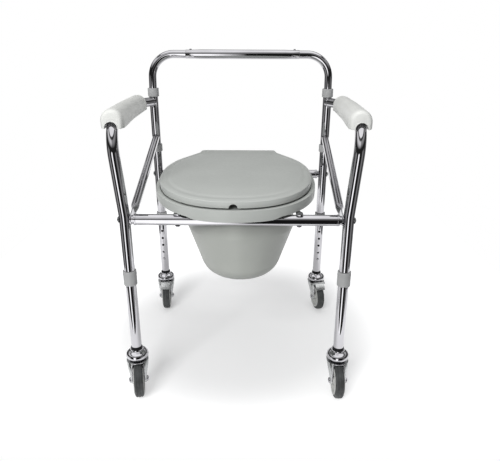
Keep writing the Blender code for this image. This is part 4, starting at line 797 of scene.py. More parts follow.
def make_arm_pads():
    """Moulded pads that drop a little at the front, with a lipped mouth round the tube."""
    sizes = bpy.context.scene.commode_sizes
    radius, skirt, mouth = sizes.pad_radius, 0.0155, sizes.pad_mouth
    quarter = [math.radians(90 * step / 7) for step in range(8)]
    for side, sign in SIDES.items():
        line = even(pad_line(sign), 0.008)
        ahead = (line[1] - line[0]).normalized()
        behind = (line[-1] - line[-2]).normalized()
        stations = [(line[0] + ahead * 0.0190 * (1 - math.cos(turn)), 0.68 + 0.36 * math.sin(turn), 1.0)
                    for turn in quarter]
        run = 0.0
        for before, point in zip(line, line[1:-1]):
            run += (point - before).length
            if run > 0.023 and (line[-1] - point).length > 0.013:
                near = 1 - eased(run / 0.170)
                stations.append((point, 1.0 + 0.04 * near, near))
        stations += [(line[-1] - behind * 0.0100 * (1 - math.sin(turn)), 1 - 0.34 * (1 - math.cos(turn)), 0.0)
                     for turn in quarter]
        shells = [(place, pad_section(radius * share, skirt * min(1.0, share + 0.24)),
                   0.0030 * near, 0.0020 * near) for place, share, near in stations]
        pad = plain_object("pad", [loft(cross_sections(shells, -sign))])
        channel = []
        for place in [line[0] - ahead * 0.01] + line[1:-1] + [line[-1] + behind * 0.01]:
            near = 1 - eased((place - line[0]).length / 0.040)
            top = arc((0, -mouth - 0.0030 * near), mouth, 0, 180, 20)
            channel.append((place, [(mouth, -0.045)] + top + [(-mouth, -0.045)], 0.0012 * near, 0))
        cut(pad, loft(cross_sections(channel, -sign)))
        cut(pad, rod(mirrored(arm_path(), sign), 0.0131, 40))
        soften(pad, 0.0010, 3, 50.0)
        lip = [line[0] + ahead * 0.0010 + Vector((-sign * 0.0012 + a, 0, b))
               for a, b in arc((0, -mouth - 0.0030), mouth + 0.0014, 12, 168, 24)]
        add_piece(side + "_arm_pad_cover", [mesh_shape(pad), rod(lip, 0.0014, 12, BACK)],
                  "frame", side + "_arm_pad", "pad", 34.0)


# Seat, lid and pail

def seat_frame():
    return at(SEAT_X, 0, RAIL_TOP_Z + 0.0003) @ Matrix.Rotation(SEAT_TILT, 4, "X")


def outline(half_width, half_length, centre_y, rear_y, count=120, corner=0.012):
    """Rounded oval cut off at the rear, with eased corners."""
    points = []
    for turn in turns(count):
        y = centre_y + half_length * signed_power(math.sin(turn), 2 / OVAL)
        over = (y - rear_y) / corner
        if over > -1:
            y = rear_y - corner + corner * min(1.0, (over + 1) * (1 - 0.25 * (over + 1)) if over < 1 else 1.0)
        points.append((half_width * signed_power(math.cos(turn), 2 / OVAL), y))
    return points


def blended(first, second, share, height):
    """Ring of points between two outlines, at a height."""
    return [Vector((x0 + (x1 - x0) * share, y0 + (y1 - y0) * share, height))
            for (x0, y0), (x1, y1) in zip(first, second)]


def wall_profile(points, scale, steps):
    """Rounded profile whose shares across the wall are drawn to scale: (share, height, radius) points."""
    drawn = rounded([(share * scale, height, own * scale) for share, height, own in points], 0.001, steps)
    return [(share / scale, height) for share, height in drawn]


def make_seat_ring():
    """Seat ring with clips round the rear crossbar, feet on the rails, and hinge ears on their pins."""
    matrix = seat_frame()
    sizes = bpy.context.scene.commode_sizes
    outer = outline(sizes.ring_half_width, 0.2465, SEAT_MIDDLE, 0.4230)
    hole = outline(0.1020, 0.1320, 0.1600, 0.4230)
    top = RING_HEIGHT
    profile = [(0.0, 0.0005, 0), (-0.004, 0.0090, 0.004), (0.0, top - 0.0005, 0.006), (0.06, top + 0.0002, 0.02),
               (0.098, top + 0.0002, 0.004), (0.108, top - 0.0034, 0.004), (0.50, top - 0.0028, 0.05),
               (0.90, top - 0.0050, 0.03), (1.0, top - 0.0110, 0.03), (1.0, 0.0040, 0.002),
               (0.968, 0.0040, 0.002), (0.955, top - 0.0120, 0.01), (0.50, top - 0.0056, 0.02),
               (0.065, top - 0.0060, 0.01), (0.040, 0.0, 0)]
    rings = [blended(outer, hole, share, height) for share, height in wall_profile(profile, 0.09, 4)]
    for ring in rings:
        low = max(0.0, 1 - ring[0].z / (top * 0.75))
        for point in ring:
            point.z -= sizes.ring_skirt * low * eased((-0.018 - point.y) / 0.014)
    shapes = [loft(rings, closed=True)]
    crossbar = matrix.inverted() @ Vector((0, FRAME_DEPTH, CROSSBAR_Z))
    centre = (crossbar.y, crossbar.z)
    clip_r, clip_bore, clip_x, clip_width, deck = 0.0165, 0.0131, 0.075, 0.022, 0.0207
    clip = arc(centre, clip_r, -40, 60, 12) + [(0.4212, deck), (crossbar.y - 0.0245, deck)]
    clip += arc(centre, clip_r, 170, 220, 8) + arc(centre, clip_bore, 220, -40, 26)
    shapes += [plate(clip, x, clip_width) for x in (-clip_x, clip_x)]
    foot_r, foot_top = 0.0075, 0.0190
    for x in RAILS:
        for y in (0.0330, 0.3550):
            low = matrix.inverted() @ Vector((x, y, RAIL_TOP_Z + 0.0003))
            shapes.append(moved(pipe(0, foot_r, low.z, foot_top, 0.001, 3, 28, 0), at(low.x, low.y, 0)))
    ear = arc((HINGE_Y, HINGE_Z), HINGE_R, 0, 180, 20) + [(HINGE_Y - 0.0064, deck), (HINGE_Y + 0.0060, deck)]
    ear_offset, pin_half, pin_r = 0.0163, 0.0243, 0.0025
    for x in (-HINGE_X, HINGE_X):
        shapes += [plate(ear, x + offset, KNUCKLE) for offset in (-ear_offset, ear_offset)]
        shapes.append(bar((x - pin_half, HINGE_Y, HINGE_Z), (x + pin_half, HINGE_Y, HINGE_Z), pin_r, 24))
    add_piece("commode_seat_ring", [moved(shape, matrix) for shape in shapes], "seat", "seat_ring", "seat", 40.0)


def lid_outline(half_width, flap_half, rear_y):
    """Oval, rounder at the rear, with the straight flap that carries the hinge."""
    share = min(flap_half / half_width, 1.0)
    low = SEAT_MIDDLE + SEAT_LENGTH * (1 - share ** OVAL_REAR) ** (1 / OVAL_REAR)
    stop = math.asin((low - SEAT_MIDDLE) / SEAT_LENGTH)
    points = [(flap_half, low)]
    for step in range(1, 61):
        turn = stop + (-math.pi / 2 - stop) * step / 60
        power = 2 / OVAL if turn < 0 else 2 / OVAL_REAR
        points.append((half_width * abs(math.cos(turn)) ** power,
                       SEAT_MIDDLE + SEAT_LENGTH * signed_power(math.sin(turn), power)))
    points += [(-x, y) for x, y in reversed(points[:-1])]
    corner = [(-flap_half, low), (-flap_half + 0.006, low + 0.006, 0.004), (-flap_half + 0.013, rear_y, 0.007)]
    flap = corner + [(0, rear_y, 0)] + [(-x, *rest) for x, *rest in reversed(corner)]
    return points + rounded(flap, 0.004, 4)[1:-1]


def make_lid():
    """Domed lid with a rolled edge, a finger notch, a hinge flap and four feet below."""
    sizes = bpy.context.scene.commode_sizes
    matrix = seat_frame()
    edge = lid_outline(sizes.lid_half_width, sizes.flap_half_width, 0.4200)
    middle = [(0.0, SEAT_MIDDLE)] * len(edge)
    base, crest = RING_HEIGHT + sizes.lid_gap, LID_BASE + 0.0165
    profile = [(0.0, base, 0), (-0.0022, base + 0.0072, 0.005), (0.003, crest - 0.0008, 0.008),
               (0.045, crest + 0.0012, 0.014), (0.090, crest + 0.0014, 0.014), (0.130, crest + 0.0034, 0.022),
               (0.32, crest + 0.0066, 0.05), (0.65, crest + 0.0088, 0.02), (0.92, crest + 0.0090, 0)]
    under = [(0.92, crest + 0.0058), (0.65, crest + 0.0056), (0.12, crest - 0.0030), (0.024, crest - 0.0030),
             (0.020, crest - 0.0040), (0.020, base + 0.0030), (0.012, base)]
    rings = [blended(edge, middle, share, height) for share, height in under + wall_profile(profile, 0.19, 6)]
    for ring in rings:
        for point in ring:
            point.z += 0.0045 * eased((point.y - 0.355) / 0.065)
    shell = plain_object("lid_shell", [moved(loft(rings), matrix)])
    notch_z, notch_r = base - 0.0006, 0.0100
    cut(shell, moved(bar((0, -0.0600, notch_z), (0, -0.0200, notch_z), notch_r, 36), matrix))
    soften(shell, 0.0006, 2, 55.0)
    knuckle = arc((HINGE_Y, HINGE_Z), HINGE_R, -90, 90, 20)
    knuckle += [(0.4067, HINGE_Z + 0.0095), (0.4067, LID_BASE + 0.0014)]
    shapes = [plate(knuckle, x, KNUCKLE) for x in (-HINGE_X, HINGE_X)]
    foot_r, sole = 0.0060, RING_HEIGHT - 0.0026
    shapes += [moved(pipe(0, foot_r, sole, crest - 0.001, 0.001, 3, 24, 0), at(x, y, 0))
               for x in (-0.1500, 0.1500) for y in (0.1000, 0.3000)]
    add_piece("commode_lid", [mesh_shape(shell)] + [moved(shape, matrix) for shape in shapes],
              "lid", "seat_lid", "seat", 40.0)


def make_pail():
    """Pail with a folded rim, slightly wider sideways below the rails."""
    rim = RAIL_TOP_Z + 0.0003
    bottom = rim - 0.2050
    bend = 0.0520
    centre = (0.0950 - bend * 0.86, bottom + bend)
    outer = rounded([(0.1480, rim, 0), (0.1300, rim, 0.002), (0.1290, rim - 0.006, 0.01),
                     (0.1275, rim - 0.0700, 0.02)], 0.001, 6)[:-1]
    outer += [(0.1270, rim - 0.0700), (0.1258, rim - 0.0745), (0.1252, rim - 0.0760)]
    foot = [(0.0330, bottom), (0.0320, bottom + 0.0010), (0.0280, bottom + 0.0010), (0, bottom + 0.0010)]
    inner = [(0, bottom + 0.0034)] + arc(centre, bend - 0.0030, -90, -8, 18)
    inner += rounded([(0.1240, rim - 0.0700), (0.1262, rim, 0.02), (0.1262, rim + 0.0026, 0.0015),
                      (0.1480, rim + 0.0028, 0.001), (0.1484, rim + 0.0010, 0.001), (0.1480, rim)], 0.001, 4)
    shape = turned(outer + arc(centre, bend, -8, -90, 18) + foot + inner, 120)
    for corner in shape.verts:
        height = corner.co.z - bottom
        corner.co.x *= 1 + 0.062 * eased((height - 0.02) / 0.07) * eased((0.188 - height) / 0.012)
    add_piece("commode_pail", [moved(shape, at(0.0062, 0.1450, 0))], "pail", "pail", "pail", 40.0)


# Legs and casters

def make_sliding_legs():
    """Lower legs with their row of height holes."""
    for corner in CORNERS:
        tube = pipe(BORE_R, TUBE_R, LEG_END_S, SPLIT_S - 0.0003, 0.0004, 3)
        leg = drilled(plain_object("leg", [moved(tube, leg_frame(corner))]), corner)
        soften(leg, 0.0003, 1, 60.0)
        add_piece(corner + "_sliding_leg", [mesh_shape(leg)], corner + "_leg", corner + "_lower_leg")


def make_stems():
    """Black stem sockets and the domed housings of the ball races below them."""
    top, low = LEG_END_S - 0.0003, HOUSING_Z
    socket = [(0.0053, PLUG_Z, 0), (0.0140, PLUG_Z), (0.0142, PLUG_Z + 0.0030), (0.0133, top), (0.0111, top, 0),
              (0.0111, top + 0.0205), (0.0053, top + 0.0215)]
    dome = [(0.0045, low, 0), (0.0195, low), (0.0244, low + 0.0012, 0.001), (0.0254, low + 0.0030, 0.0010),
            (0.0274, low + 0.0052, 0.002), (0.0276, low + 0.0095, 0.005), (0.0258, low + 0.0150, 0.006),
            (0.0212, low + 0.0188, 0.004), (0.0166, low + 0.0206, 0.0015), (0.0150, low + 0.0222, 0.001),
            (0.0146, PLUG_Z - 0.0003, 0.0005), (0.0050, PLUG_Z - 0.0003, 0), (0.0050, LEG_END_S + 0.0190, 0.001),
            (0, LEG_END_S + 0.0195, 0), (0, low + 0.0142, 0), (0.0045, low + 0.0142, 0)]
    for name, node, kind, settings in (("_stem_socket", "_caster_plug", "black", (socket, 0.0008, 3)),
                                       ("_swivel_housing", "_caster_housing", "chrome", (dome, 0.0009, 6, 64))):
        for corner in CORNERS:
            add_piece(corner + name, [moved(lathe(*settings), leg_frame(corner))], corner + "_leg",
                      corner + node, kind)


def fork_row(share, below=0.0):
    """Fork plate at a share of its drop: height, middle, half length, inner edge and outer side."""
    z = RACE_Z + (WHEEL_R - RACE_Z) * share - 0.0095 * math.sin(math.radians(below))
    half = (0.0095 + 0.0123 * (1 - share ** 1.5)) * math.cos(math.radians(below))
    side = 0.0266 - 0.0068 * eased(share / 0.95)
    inner = 0.0120 + 0.0022 * eased(share / 0.25) + 0.0026 * eased((share - 0.3) / 0.7)
    return z, -TRAIL * share, half, inner, side


def fork_plate(sign):
    """Curved side of the fork: its edges turn in towards the tyre, and it narrows to the axle's eye."""
    rings = []
    for share, below in [(step / 18, 0) for step in range(19)] + [(1.0, below) for below in range(10, 90, 10)]:
        z, middle, half, inner, side = fork_row(share, below)
        row = []
        for step in range(17):
            across = step / 8 - 1
            bulge = (max(0.0, 1 - abs(across) ** 3.0)) ** 0.5
            row.append((inner + (side - inner) * bulge, middle + half * across))
        rings.append([Vector((sign * x, y, z)) for x, y in row]
                     + [Vector((sign * (x - 0.0020), y, z)) for x, y in reversed(row)])
    return loft(rings)


def fork_rim():
    """Rolled edge round the front opening of the fork."""
    legs = []
    for step in range(14, -1, -1):
        z, middle, half, inner, _ = fork_row(0.08 + 0.87 * step / 14)
        legs.append(Vector((inner - 0.0002, middle - half - 0.0006, z)))
    arch = [Vector((x, y, CROWN_Z + 0.0010)) for x, y in arc((0, 0), 0.0264, -66, -114, 14)]
    return rod(legs + arch + mirrored(reversed(legs), -1), 0.0014, 14, BACK)


def pedal_ear(sign):
    """Ear on the crown for the brake pedal's pin."""
    points = arc((PEDAL_Y, PEDAL_Z), 0.0042, 60, 250, 18)
    points += [(-0.0235, CROWN_Z), (-0.0120, CROWN_Z), (-0.0120, RACE_Z), (-0.0265, CROWN_Z + 0.0034)]
    return plate(points, sign * 0.01675, 0.0022)


def make_forks():
    """Pressed forks with a race ring painted black as painted shade, axle nuts and, at the rear, ears for the
    brake pedal.
    """
    race = RACE_Z
    crown = [(0, CROWN_Z, 0), (0.0235, CROWN_Z), (0.0262, CROWN_Z + 0.0006, 0.0008), (0.0262, race - 0.0004),
             (0.0205, race, 0.0004), (0.0205, race + 0.0037, 0.0004), (0.0042, race + 0.0037, 0),
             (0.0042, race + 0.0157, 0.001), (0, race + 0.0157, 0)]
    nut = [(0, -0.001), (0.0064, -0.001, 0), (0.0070, 0.0002, 0.0002), (0.0070, 0.0018),
           (0.0054, 0.0040, 0.0016), (0, 0.0046, 0)]
    axle_half, axle_r, nut_x = 0.018, 0.0040, 0.0198
    for corner in CORNERS:
        matrix = swivel_frame(corner)
        shapes = [lathe(crown, 0.0006, 4, 64), fork_plate(-1), fork_plate(1),
                  bar((-axle_half, -TRAIL, WHEEL_R), (axle_half, -TRAIL, WHEEL_R), axle_r, 28)]
        if corner.startswith("rear"):
            shapes += [pedal_ear(-1), pedal_ear(1)]
        plain_faces = sum(len(shape.faces) for shape in shapes)
        for sign in (-1, 1):
            turn = Matrix.Rotation(sign * math.pi / 2, 4, "Y")
            shapes.append(moved(lathe(nut, 0.0006, 5, 36), at(sign * nut_x, -TRAIL, WHEEL_R) @ turn))
        shapes.append(fork_rim())
        piece = add_piece(corner + "_caster_fork_body", shapes, corner + "_fork", corner + "_caster_fork",
                          "steel", 45.0, matrix)
        paint_where(piece, "chrome", lambda face: face.index >= plain_faces)
        # The steel race ring and the top of the kingpin take the black finish: painted shade of the dark gap
        # under the housing.
        back = (Matrix.Translation(SHIFT) @ matrix).inverted()
        paint_where(piece, "black", lambda face: (back @ face.center).z > race - 0.0002
                    and (back @ face.center).xy.length < 0.0208)


def hub_ribs():
    """Ring of short ribs on both faces of a wheel's web, as a mesh."""
    foot = [(-0.0085, -0.0008), (0.0085, -0.0008), (0.0085, 0.0008), (-0.0085, 0.0008)]
    rib = plain_object("hub_rib", [loft([[Vector((a, b, z)) for a, b in foot] for z in (-0.0095, 0.0095)])])
    seed = plain_object("rib_ring", [turned([(0, 0), (0.001, 0), (0, 0.001)], 3)])
    mesh = run_tree(seed, rib_tree(), {"Piece": rib, "Count": 8, "Radius": 0.0195, "Material": finish("hub")})
    bpy.data.objects.remove(rib, do_unlink=True)
    return mesh


def make_wheels():
    """Wheels: a hub with a web, ribs and a rim, and a tyre with two grooves in its tread."""
    sizes = bpy.context.scene.commode_sizes
    half, groove, tread, rim = sizes.tyre_half_width, WHEEL_R - sizes.tread_groove, WHEEL_R - 0.0001, 0.0325
    ribs = hub_ribs()
    hub = [(0.0043, -0.0140), (0.0100, -0.0140), (0.0106, -0.0040, 0.002), (0.0288, -0.0040, 0.002),
           (0.0300, -0.0124), (0.0352, -0.0126, 0.0010), (0.0356, -0.0106, 0.0006), (rim, -0.0100, 0)]
    hub += [(radius, -height, *own) for radius, height, *own in reversed(hub)]
    wall = [(0.0329, 0.0096, 0), (0.0359, 0.0098, 0), (0.0361, half - 0.0010, 0.0008), (0.0386, half, 0.0016),
            (0.0412, half - 0.0012, 0.002), (0.0432, half - 0.0040, 0.003), (tread, 0.0052, 0.0006),
            (groove, 0.0045, 0.0003), (groove, 0.0031, 0.0003), (tread, 0.0024, 0.0006)]
    tyre = [(radius, -across, own) for radius, across, own in wall] + list(reversed(wall))
    for corner in CORNERS:
        matrix, body = wheel_frame(corner), corner + "_wheel"
        shape = bmesh.new()
        shape.from_mesh(ribs)
        add_piece(corner + "_wheel_centre", [lathe(hub, 0.0006, 3, 72), shape], body, corner + "_wheel_hub",
                  "hub", place=matrix)
        add_piece(corner + "_rubber_tyre", [lathe(tyre, 0.002, 5, 96)], body, corner + "_tyre",
                  "tyre", place=matrix)


def make_pedals():
    """Curved brake plates on a hinge barrel, on the two rear casters."""
    slope, reach = math.radians(42.0), 0.0245
    lift = Vector((0, -math.sin(slope), math.cos(slope))) * 0.0022
    for corner in ("rear_left", "rear_right"):
        rings = []
        for share in (step / 8 for step in range(9)):
            curl = 0.0012 * math.sin(math.pi * share)
            y = -reach * share * math.cos(slope) - curl * math.sin(slope)
            z = -reach * share * math.sin(slope) + curl * math.cos(slope)
            half = PEDAL_HALF * (1 - 0.08 * share)
            ring = [Vector((half * across, y, z + 0.0006 * (1 - across ** 2)))
                    for across in (step / 4 - 1 for step in range(9))]
            rings.append([point + lift for point in ring] + list(reversed(ring)))
        shapes = [loft(rings), bar((-PEDAL_HALF, 0, 0), (PEDAL_HALF, 0, 0), 0.0034, 28),
                  bar((-0.0190, 0, 0), (0.0190, 0, 0), 0.0022, 20)]
        add_piece(corner + "_pedal_plate", shapes, corner + "_pedal", corner + "_brake_pedal", "steel",
                  place=swivel_frame(corner) @ at(0, PEDAL_Y, PEDAL_Z))


def paint_buttons():
    """The snap buttons keep their CAD shape and take the bright finish."""
    for corner in CORNERS:
        item = frame["nodes"][corner + "_snap_button"]
        item.data.materials.clear()
        item.data.materials.append(finish("chrome"))


# Stage

# Brightness of the room in reflections, by degrees round from the camera's side
ROOM_BANDS = [(-180, 0.55), (-150, 0.53), (-132, 0.10), (-92, 0.02), (-66, 0.26), (-50, 0.01), (-27, 0.005),
              (-20, 1.0), (-7, 1.0), (0, 0.005), (36, 0.01), (56, 0.20), (80, 0.02), (126, 0.10), (150, 0.53),
              (180, 0.55)]
# How much of the light overhead is seen, by height of the direction: it has one dark gap
SKY_HEIGHTS = [(0.36, 0.0), (0.56, 1.0), (0.66, 1.0), (0.71, 0.08), (0.77, 0.08), (0.81, 1.0)]


def grey(value):
    return (value, value, value, 1)


def maths(tree, operation, *values, **settings):
    return node_at(tree, "ShaderNodeMath", *values, operation=operation, **settings).outputs["Value"]


def scale_band(tree, value, low, high, first=0.0, last=1.0):
    """Value that goes smoothly from first to last between two levels."""
    return node_at(tree, "ShaderNodeMapRange", interpolation_type="SMOOTHSTEP", Value=value, From_Min=low,
                   From_Max=high, To_Min=first, To_Max=last).outputs["Result"]


def stepped_ramp(tree, value, steps):
    """Grey ramp through (position, brightness) steps."""
    node = node_at(tree, "ShaderNodeValToRGB", value)
    elements = node.color_ramp.elements
    while len(elements) < len(steps):
        elements.new(0.5)
    for element, (place, brightness) in zip(elements, steps):
        element.position = place
        element.color = grey(brightness)
    return node.outputs["Color"]


def mixed(tree, share, first, second):
    """Colour that goes from first to second."""
    return node_at(tree, "ShaderNodeMix", data_type="RGBA", Factor=share, A=first, B=second).outputs["Result"]


def make_floor(stage):
    """Pale floor that keeps the chair's shadow and fades into the white room around it."""
    half, front, rear = stage.floor_half, stage.floor_front, stage.floor_rear
    mesh = bpy.data.meshes.new("studio_floor")
    corners = [(-half, front, 0), (half, front, 0), (half, rear, 0), (-half, rear, 0)]
    mesh.from_pydata(corners, [], [(0, 1, 2, 3)])
    floor = linked("studio_floor", mesh)
    material, tree, shader, where = new_material("floor_paper")
    light = tree.nodes.new("ShaderNodeLightPath").outputs
    seen = maths(tree, "ADD", light["Is Camera Ray"], light["Is Glossy Ray"])
    through = maths(tree, "ADD", seen, light["Is Transmission Ray"], use_clamp=True)
    away = node_at(tree, "ShaderNodeVectorMath", where, (0, 0.12, 0), operation="DISTANCE").outputs["Value"]
    lift = scale_band(tree, away, 0.28, 0.54, stage.floor_glow, stage.floor_glow + 0.40)
    glow = maths(tree, "MULTIPLY", through, lift)
    for name, value in (("Base Color", (*stage.floor_colour, 1)), ("Roughness", 0.9), ("Specular IOR Level", 0.1),
                        ("Emission Color", (1, 1, 1, 1)), ("Emission Strength", glow)):
        feed(tree, shader.inputs[name], value)
    mesh.materials.append(material)


def make_world(stage):
    """White to the camera; in reflections a white backdrop in a dark room with strip lights."""
    world = bpy.data.worlds.new("studio_room")
    bpy.context.scene.world = world
    world.use_nodes = True
    tree = world.node_tree
    tree.nodes.clear()
    where = tree.nodes.new("ShaderNodeTexCoord").outputs["Generated"]
    x, y, z = node_at(tree, "ShaderNodeSeparateXYZ", where).outputs
    turn = maths(tree, "DEGREES", maths(tree, "ARCTAN2", x, maths(tree, "MULTIPLY", y, -1.0)))
    spread = node_at(tree, "ShaderNodeMapRange", Value=turn, From_Min=-180.0, From_Max=180.0).outputs["Result"]
    bands = stepped_ramp(tree, spread, [((place + 180) / 360, value) for place, value in ROOM_BANDS])
    walls = mixed(tree, scale_band(tree, z, 0.10, 0.18), bands, grey(0.012))
    sky = mixed(tree, scale_band(tree, y, 0.10, 0.45), scale_band(tree, x, -0.10, 0.10, 0.50, 0.20), grey(0.36))
    crown = mixed(tree, scale_band(tree, z, 0.77, 0.82), sky, grey(0.68))
    room = mixed(tree, stepped_ramp(tree, z, SKY_HEIGHTS), walls, crown)
    plain, fill, shown = (node_at(tree, "ShaderNodeBackground", colour, strength).outputs["Background"]
                          for colour, strength in (((1, 1, 1, 1), 1.0), ((0.97, 0.98, 1.0, 1), stage.fill),
                                                   (room, stage.room)))
    light = tree.nodes.new("ShaderNodeLightPath").outputs
    glossy = node_at(tree, "ShaderNodeMixShader", light["Is Glossy Ray"], fill, shown).outputs["Shader"]
    camera = node_at(tree, "ShaderNodeMixShader", light["Is Camera Ray"], glossy, plain).outputs["Shader"]
    node_at(tree, "ShaderNodeOutputWorld", Surface=camera)


def soft_light(name, place, target, size, power):
    """Square softbox that lights the chair and isn't mirrored in it."""
    lamp = bpy.data.lights.new(name, "AREA")
    lamp.shape = "RECTANGLE"
    lamp.size, lamp.size_y = size
    lamp.energy = power
    item = linked(name, lamp)
    item.location = place
    item.rotation_euler = (Vector(target) - Vector(place)).to_track_quat("-Z", "Y").to_euler()
    item.visible_glossy = False


def make_camera(stage):
    """Camera where the photograph was taken from."""
    lens = bpy.data.cameras.new("photo_camera")
    lens.sensor_width = 36.0
    lens.sensor_fit = "HORIZONTAL"
    lens.lens = stage.lens
    lens.clip_end = 50.0
    pitch, yaw, roll = (math.radians(angle) for angle in (stage.pitch, stage.yaw, stage.roll))
    ahead = Vector((math.sin(yaw) * math.cos(pitch), math.cos(yaw) * math.cos(pitch), -math.sin(pitch)))
    level = Vector((math.cos(yaw), -math.sin(yaw), 0))
    right = level * math.cos(roll) + level.cross(ahead) * math.sin(roll)
    item = linked("photo_camera", lens)
    item.matrix_world = axes(right, right.cross(ahead), -ahead,
                             Vector(stage.camera_place) + Vector((0, SHIFT.y, SHIFT.z)))
    bpy.context.scene.camera = item


# Add-on

def colour_field(name, words, value):
    return FloatVectorProperty(name=name, description=words, default=value, subtype="COLOR", min=0.0, max=1.0)


def number_field(name, words, value, **limits):
    return FloatProperty(name=name, description=words, default=value, **limits)


def length_field(name, words, value):
    return number_field(name, words, value, min=0.0, precision=4, unit="LENGTH", subtype="DISTANCE")


class CommodeSizes(PropertyGroup):
    """Sizes of the finished pieces."""
    ring_half_width: length_field("Ring half width", "Half of the seat ring's width", 0.2000)
    ring_skirt: length_field("Ring skirt", "How far the ring's front hangs lower", 0.0050)
    lid_half_width: length_field("Lid half width", "Half of the lid's width", 0.1900)
    flap_half_width: length_field("Flap half width", "Half of the lid's hinge flap", 0.1200)
    lid_gap: length_field("Lid gap", "Gap between the ring and the closed lid's edge", 0.0034)
    pad_radius: length_field("Pad radius", "Radius of the arm pads", 0.0245)
    pad_mouth: length_field("Pad mouth", "Half width of the opening round the tube", 0.0138)
    brace_crease: length_field("Stay crease", "Depth of the crease in the side stays", 0.0016)
    tyre_half_width: length_field("Tyre half width", "Half of the tyre's width", 0.0108)
    tread_groove: length_field("Tread groove", "Depth of the two grooves round the tread", 0.0012)


class CommodeColours(PropertyGroup):
    """Colours of the finishes."""
    chrome: colour_field("Chrome", "Reflection of the plated tubes", (0.49, 0.485, 0.505))
    steel: colour_field("Plated steel", "Reflection of forks, nuts and bolts", (0.50, 0.51, 0.51))
    seat: colour_field("Seat", "Seat ring and lid", (0.440, 0.457, 0.436))
    pail: colour_field("Pail", "Pail under the seat", (0.415, 0.430, 0.400))
    pad: colour_field("Pads", "Pads on the arms", (0.690, 0.696, 0.670))
    collar: colour_field("Collars", "Plastic collars on the tubes", (0.375, 0.378, 0.378))
    hub: colour_field("Hubs", "Centres of the wheels", (0.50, 0.505, 0.49))
    # The black colour is the stem sockets' own plastic, and painted shade on the steel race rings of the forks.
    black: colour_field("Black plastic", "Stem sockets and race rings", (0.006, 0.006, 0.007))
    tyre: colour_field("Tyres", "Rubber of the wheels", (0.050, 0.053, 0.053))


class CommodeStage(PropertyGroup):
    """Camera, light and floor."""
    lens: number_field("Lens", "Focal length of the camera in millimetres", 34.39)
    pitch: number_field("Pitch", "Degrees that the camera looks down", 20.67)
    yaw: number_field("Yaw", "Degrees that the camera turns right", -0.08)
    roll: number_field("Roll", "Degrees that the camera rolls", 0.26)
    camera_place: FloatVectorProperty(name="Camera place", description="Place from the middle of the front legs",
                                      default=(0.0314, -1.0087, 0.8145), subtype="TRANSLATION", unit="LENGTH")
    floor_half: number_field("Floor half width", "Half of the floor's width", 1.0, unit="LENGTH")
    floor_front: number_field("Floor front", "Front edge of the floor", -0.42, unit="LENGTH")
    floor_rear: number_field("Floor rear", "Rear edge of the floor", 1.40, unit="LENGTH")
    floor_glow: number_field("Floor glow", "How far the floor is lifted to white", 0.30)
    floor_colour: colour_field("Floor colour", "Colour of the floor", (0.70, 0.70, 0.70))
    fill: number_field("Fill", "Strength of the room's light", 0.35)
    room: number_field("Room", "Strength of the strip lights in reflections", 2.15)
    key: number_field("Key", "Power of the front softbox in watts", 78.0)
    overhead: number_field("Overhead", "Power of the overhead softbox in watts", 14.0)


class Maker:
    """What the operators share."""
    bl_options = {"REGISTER", "UNDO"}


class COMMODE_OT_side_tubes(Maker, Operator):
    """Bend the two side tubes, with the sleeves that carry the uprights"""
    bl_idname = "commode.side_tubes"
    bl_label = "Side tubes"

    def execute(self, context):
        make_side_tubes()
        return {"FINISHED"}


class COMMODE_OT_uprights(Maker, Operator):
    """Make the two rear upright tubes"""
    bl_idname = "commode.uprights"
    bl_label = "Rear uprights"

    def execute(self, context):
        make_uprights()
        return {"FINISHED"}


class COMMODE_OT_back_bar(Maker, Operator):
    """Make the two bent tubes and the middle tube of the back bar"""
    bl_idname = "commode.back_bar"
    bl_label = "Back bar"

    def execute(self, context):
        make_back_bar()
        return {"FINISHED"}


class COMMODE_OT_collars(Maker, Operator):
    """Make the plastic collars on the uprights and the sliding legs"""
    bl_idname = "commode.collars"
    bl_label = "Collars"

    def execute(self, context):
        make_collars()
        return {"FINISHED"}


class COMMODE_OT_crossbars(Maker, Operator):
    """Make the front and the rear crossbar"""
    bl_idname = "commode.crossbars"
    bl_label = "Crossbars"

    def execute(self, context):
        make_crossbars()
        return {"FINISHED"}


class COMMODE_OT_bolts(Maker, Operator):
    """Make the domed bolts at the ends of the crossbars"""
    bl_idname = "commode.bolts"
    bl_label = "Bolts"

    def execute(self, context):
        make_bolts()
        return {"FINISHED"}


class COMMODE_OT_side_stays(Maker, Operator):
    """Make the two creased stays from the uprights to the front crossbar"""
    bl_idname = "commode.side_stays"
    bl_label = "Side stays"

    def execute(self, context):
        make_side_stays()
        return {"FINISHED"}


class COMMODE_OT_pail_rails(Maker, Operator):
    """Make the two rails that carry the pail and the seat"""
    bl_idname = "commode.pail_rails"
    bl_label = "Pail rails"

    def execute(self, context):
        make_pail_rails()
        return {"FINISHED"}


class COMMODE_OT_arm_pads(Maker, Operator):
    """Mould the two arm pads"""
    bl_idname = "commode.arm_pads"
    bl_label = "Arm pads"

    def execute(self, context):
        make_arm_pads()
        return {"FINISHED"}


class COMMODE_OT_seat_ring(Maker, Operator):
    """Mould the seat ring with its clips, feet and hinge ears"""
    bl_idname = "commode.seat_ring"
    bl_label = "Seat ring"

    def execute(self, context):
        make_seat_ring()
        return {"FINISHED"}


class COMMODE_OT_lid(Maker, Operator):
    """Mould the lid with its finger notch and hinge knuckles"""
    bl_idname = "commode.lid"
    bl_label = "Lid"

    def execute(self, context):
        make_lid()
        return {"FINISHED"}


class COMMODE_OT_pail(Maker, Operator):
    """Mould the pail"""
    bl_idname = "commode.pail"
    bl_label = "Pail"

    def execute(self, context):
        make_pail()
        return {"FINISHED"}


class COMMODE_OT_sliding_legs(Maker, Operator):
    """Make the four sliding legs with their height holes"""
    bl_idname = "commode.sliding_legs"
    bl_label = "Sliding legs"

    def execute(self, context):
        make_sliding_legs()
        return {"FINISHED"}


